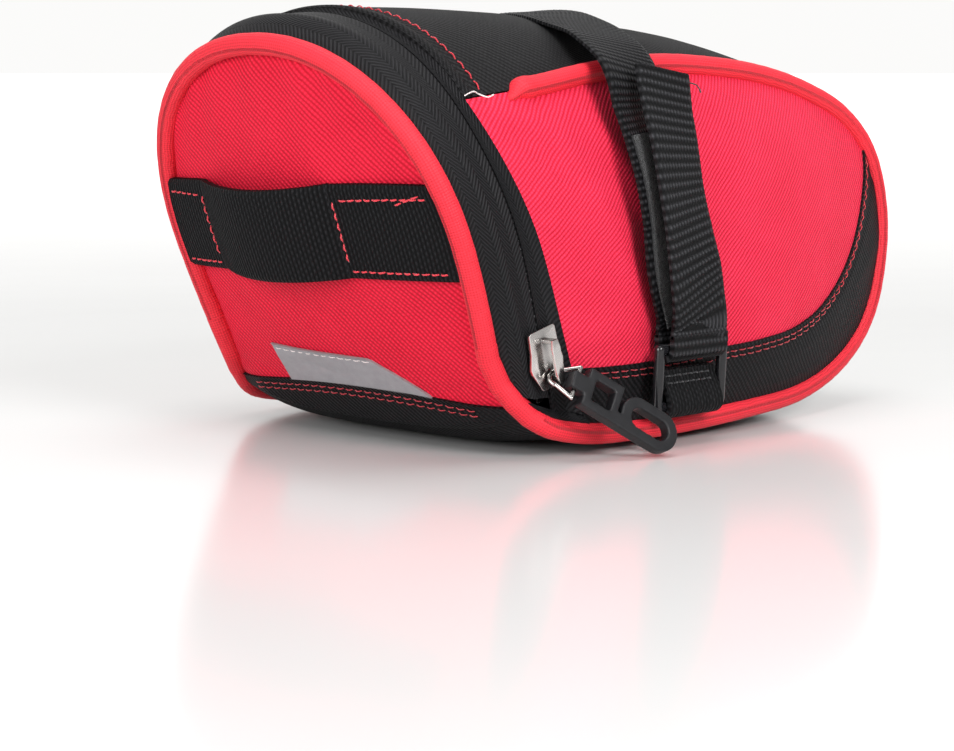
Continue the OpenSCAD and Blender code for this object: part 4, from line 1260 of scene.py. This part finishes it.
def hardware():
    pull = cad_copy("zip_pull", "zip_pull_moulding", M["black_plastic"], moulded(0.26, 7))
    dress(pull, "pull", "black_plastic", "zip_pull")
    ring = cad_copy("strap_ring", "strap_ring_moulding", M["ring_plastic"], moulded(0.24, 5))
    dress(ring, "strap_ring", "ring_plastic", "strap_ring")
    slider = cad_copy("zip_slider", "zip_slider_casting", M["slider_nickel"], cast, 40)
    dress(slider, "slider", "nickel", "zip_slider")


def loose_threads():
    corner = spline(EDGE, 0.12)
    for name, mat, body, steps in (
            ("loose_thread_corner", "pale_thread", "bag",
             corner + np.array([[1.2, -3, 0.6], [2.4, -1.5, 1.5], [2.2, 0.5, 0.9], [3.4, 2, 0.3],
                                [3.0, 4.2, 0.8]])),
            ("loose_thread_strap", "dark_thread", "strap_tail",
             TAIL[-1] + np.array([[0.5, 9.2, -3], [1.8, 10.4, -3.6], [2.0, 11.6, -5.2],
                                  [1.2, 12.4, -4.6]]))):
        path = spline(steps, np.linspace(0, len(steps) - 1, 40))
        obj = tube(name, path, 0.16, M[mat], 7)
        dress(obj, body, "red_thread")


# ---- Everything that keeps its CAD shape ----
CAD_SHADES = {"lining": "lining_frame", "foam": "foam", "board": "board", "cord": "cord",
              "nickel": "nickel", "zip_tape": "board", "webbing": "board"}


def dress_frame():
    for sub in frame["record"]["subparts"]:
        obj = frame["nodes"][sub["node"]]
        obj.data.materials.clear()
        obj.data.materials.append(M[CAD_SHADES.get(sub["material_slot"], "lining_frame")])


# ---- Room ----
WHITE = (1, 0.995, 0.985, 1)


def set_range(node, *ends):
    for socket, value in zip(("From Min", "From Max", "To Min", "To Max"), ends):
        node.inputs[socket].default_value = value


def sky(tree):
    """A white backdrop behind the bag, dimmer towards the tail and the right."""
    place = tree.nodes.new("ShaderNodeTexCoord")
    xyz = tree.nodes.new("ShaderNodeSeparateXYZ")
    tree.links.new(place.outputs["Generated"], xyz.inputs[0])
    toward = tree.nodes.new("ShaderNodeMath")
    toward.operation = "SUBTRACT"
    tree.links.new(xyz.outputs[1], toward.inputs[0])
    tree.links.new(xyz.outputs[0], toward.inputs[1])
    ramp = tree.nodes.new("ShaderNodeMapRange")
    tree.links.new(toward.outputs[0], ramp.inputs["Value"])
    set_range(ramp, 0.4, 1.3, 0.42, 0.97)
    back = tree.nodes["Background"]
    back.inputs[0].default_value = WHITE
    tree.links.new(ramp.outputs[0], back.inputs[1])


def room():
    bpy.ops.mesh.primitive_plane_add(size=80)
    floor = bpy.context.object
    floor.name = "floor"
    s = Shade("floor", 0.16, spec=0.75)
    at = s.place()
    s.colour(s.blend(s.noise(at, 0.004, 2), (0.66, 0.66, 0.655), (0.72, 0.72, 0.72)))
    s.roughness(s.noise(at, 0.01, 2), 0.13, 0.2)
    # Painted light: the floor glows, from nothing 0.3 m from its middle under the bag up to 0.6
    # at 1.5 m, so that the far floor is as bright as the backdrop.
    far = s.node("VectorMath", first=at)
    far.operation = "LENGTH"
    glow = s.node("MapRange", first=far.outputs["Value"])
    set_range(glow, 300, 1500, 0.0, 0.6)
    s.put("Emission Color", WHITE)
    s.tree.links.new(glow.outputs[0], s.bsdf.inputs["Emission Strength"])
    floor.data.materials.append(s.mat)
    world = bpy.data.worlds.new("room")
    world.use_nodes = True
    sky(world.node_tree)
    bpy.context.scene.world = world
    bpy.context.scene.view_settings.view_transform = "Standard"
    for name, loc, size, power, aim in (
            ("key", (0.85, -0.2, 0.5), 0.35, 8.0, (0, 0, 0.05)),
            ("fill", (0.1, -0.95, 0.35), 0.45, 5.5, (0, -0.05, 0.05)),
            ("top", (0.1, 0.0, 1.0), 0.6, 5.0, (0, 0, 0))):
        data = bpy.data.lights.new(name, "AREA")
        data.size, data.energy = size, power
        lamp = add_object(name, data)
        lamp.location = loc
        lamp.rotation_euler = (Vector(aim) - Vector(loc)).to_track_quat("-Z", "Y").to_euler()


dress_frame()
for each in ("right", "left"):
    side_pieces(each)
    piping_pieces(each)
wrap_pieces()
crown_seams()
rear_piping_piece()
gusset_pieces()
gusset_corner("right")
gusset_corner("left")
coil("coil_body", 1, "zip_coil_body", "bag")
coil("coil_door", -1, "zip_coil_door", "door")
door_pieces()
fold_piece()
loop_pieces()
patch_piece()
strap_pieces()
fold_webbing()
tab_piece()
anchor_piece()
hardware()
loose_threads()
room()
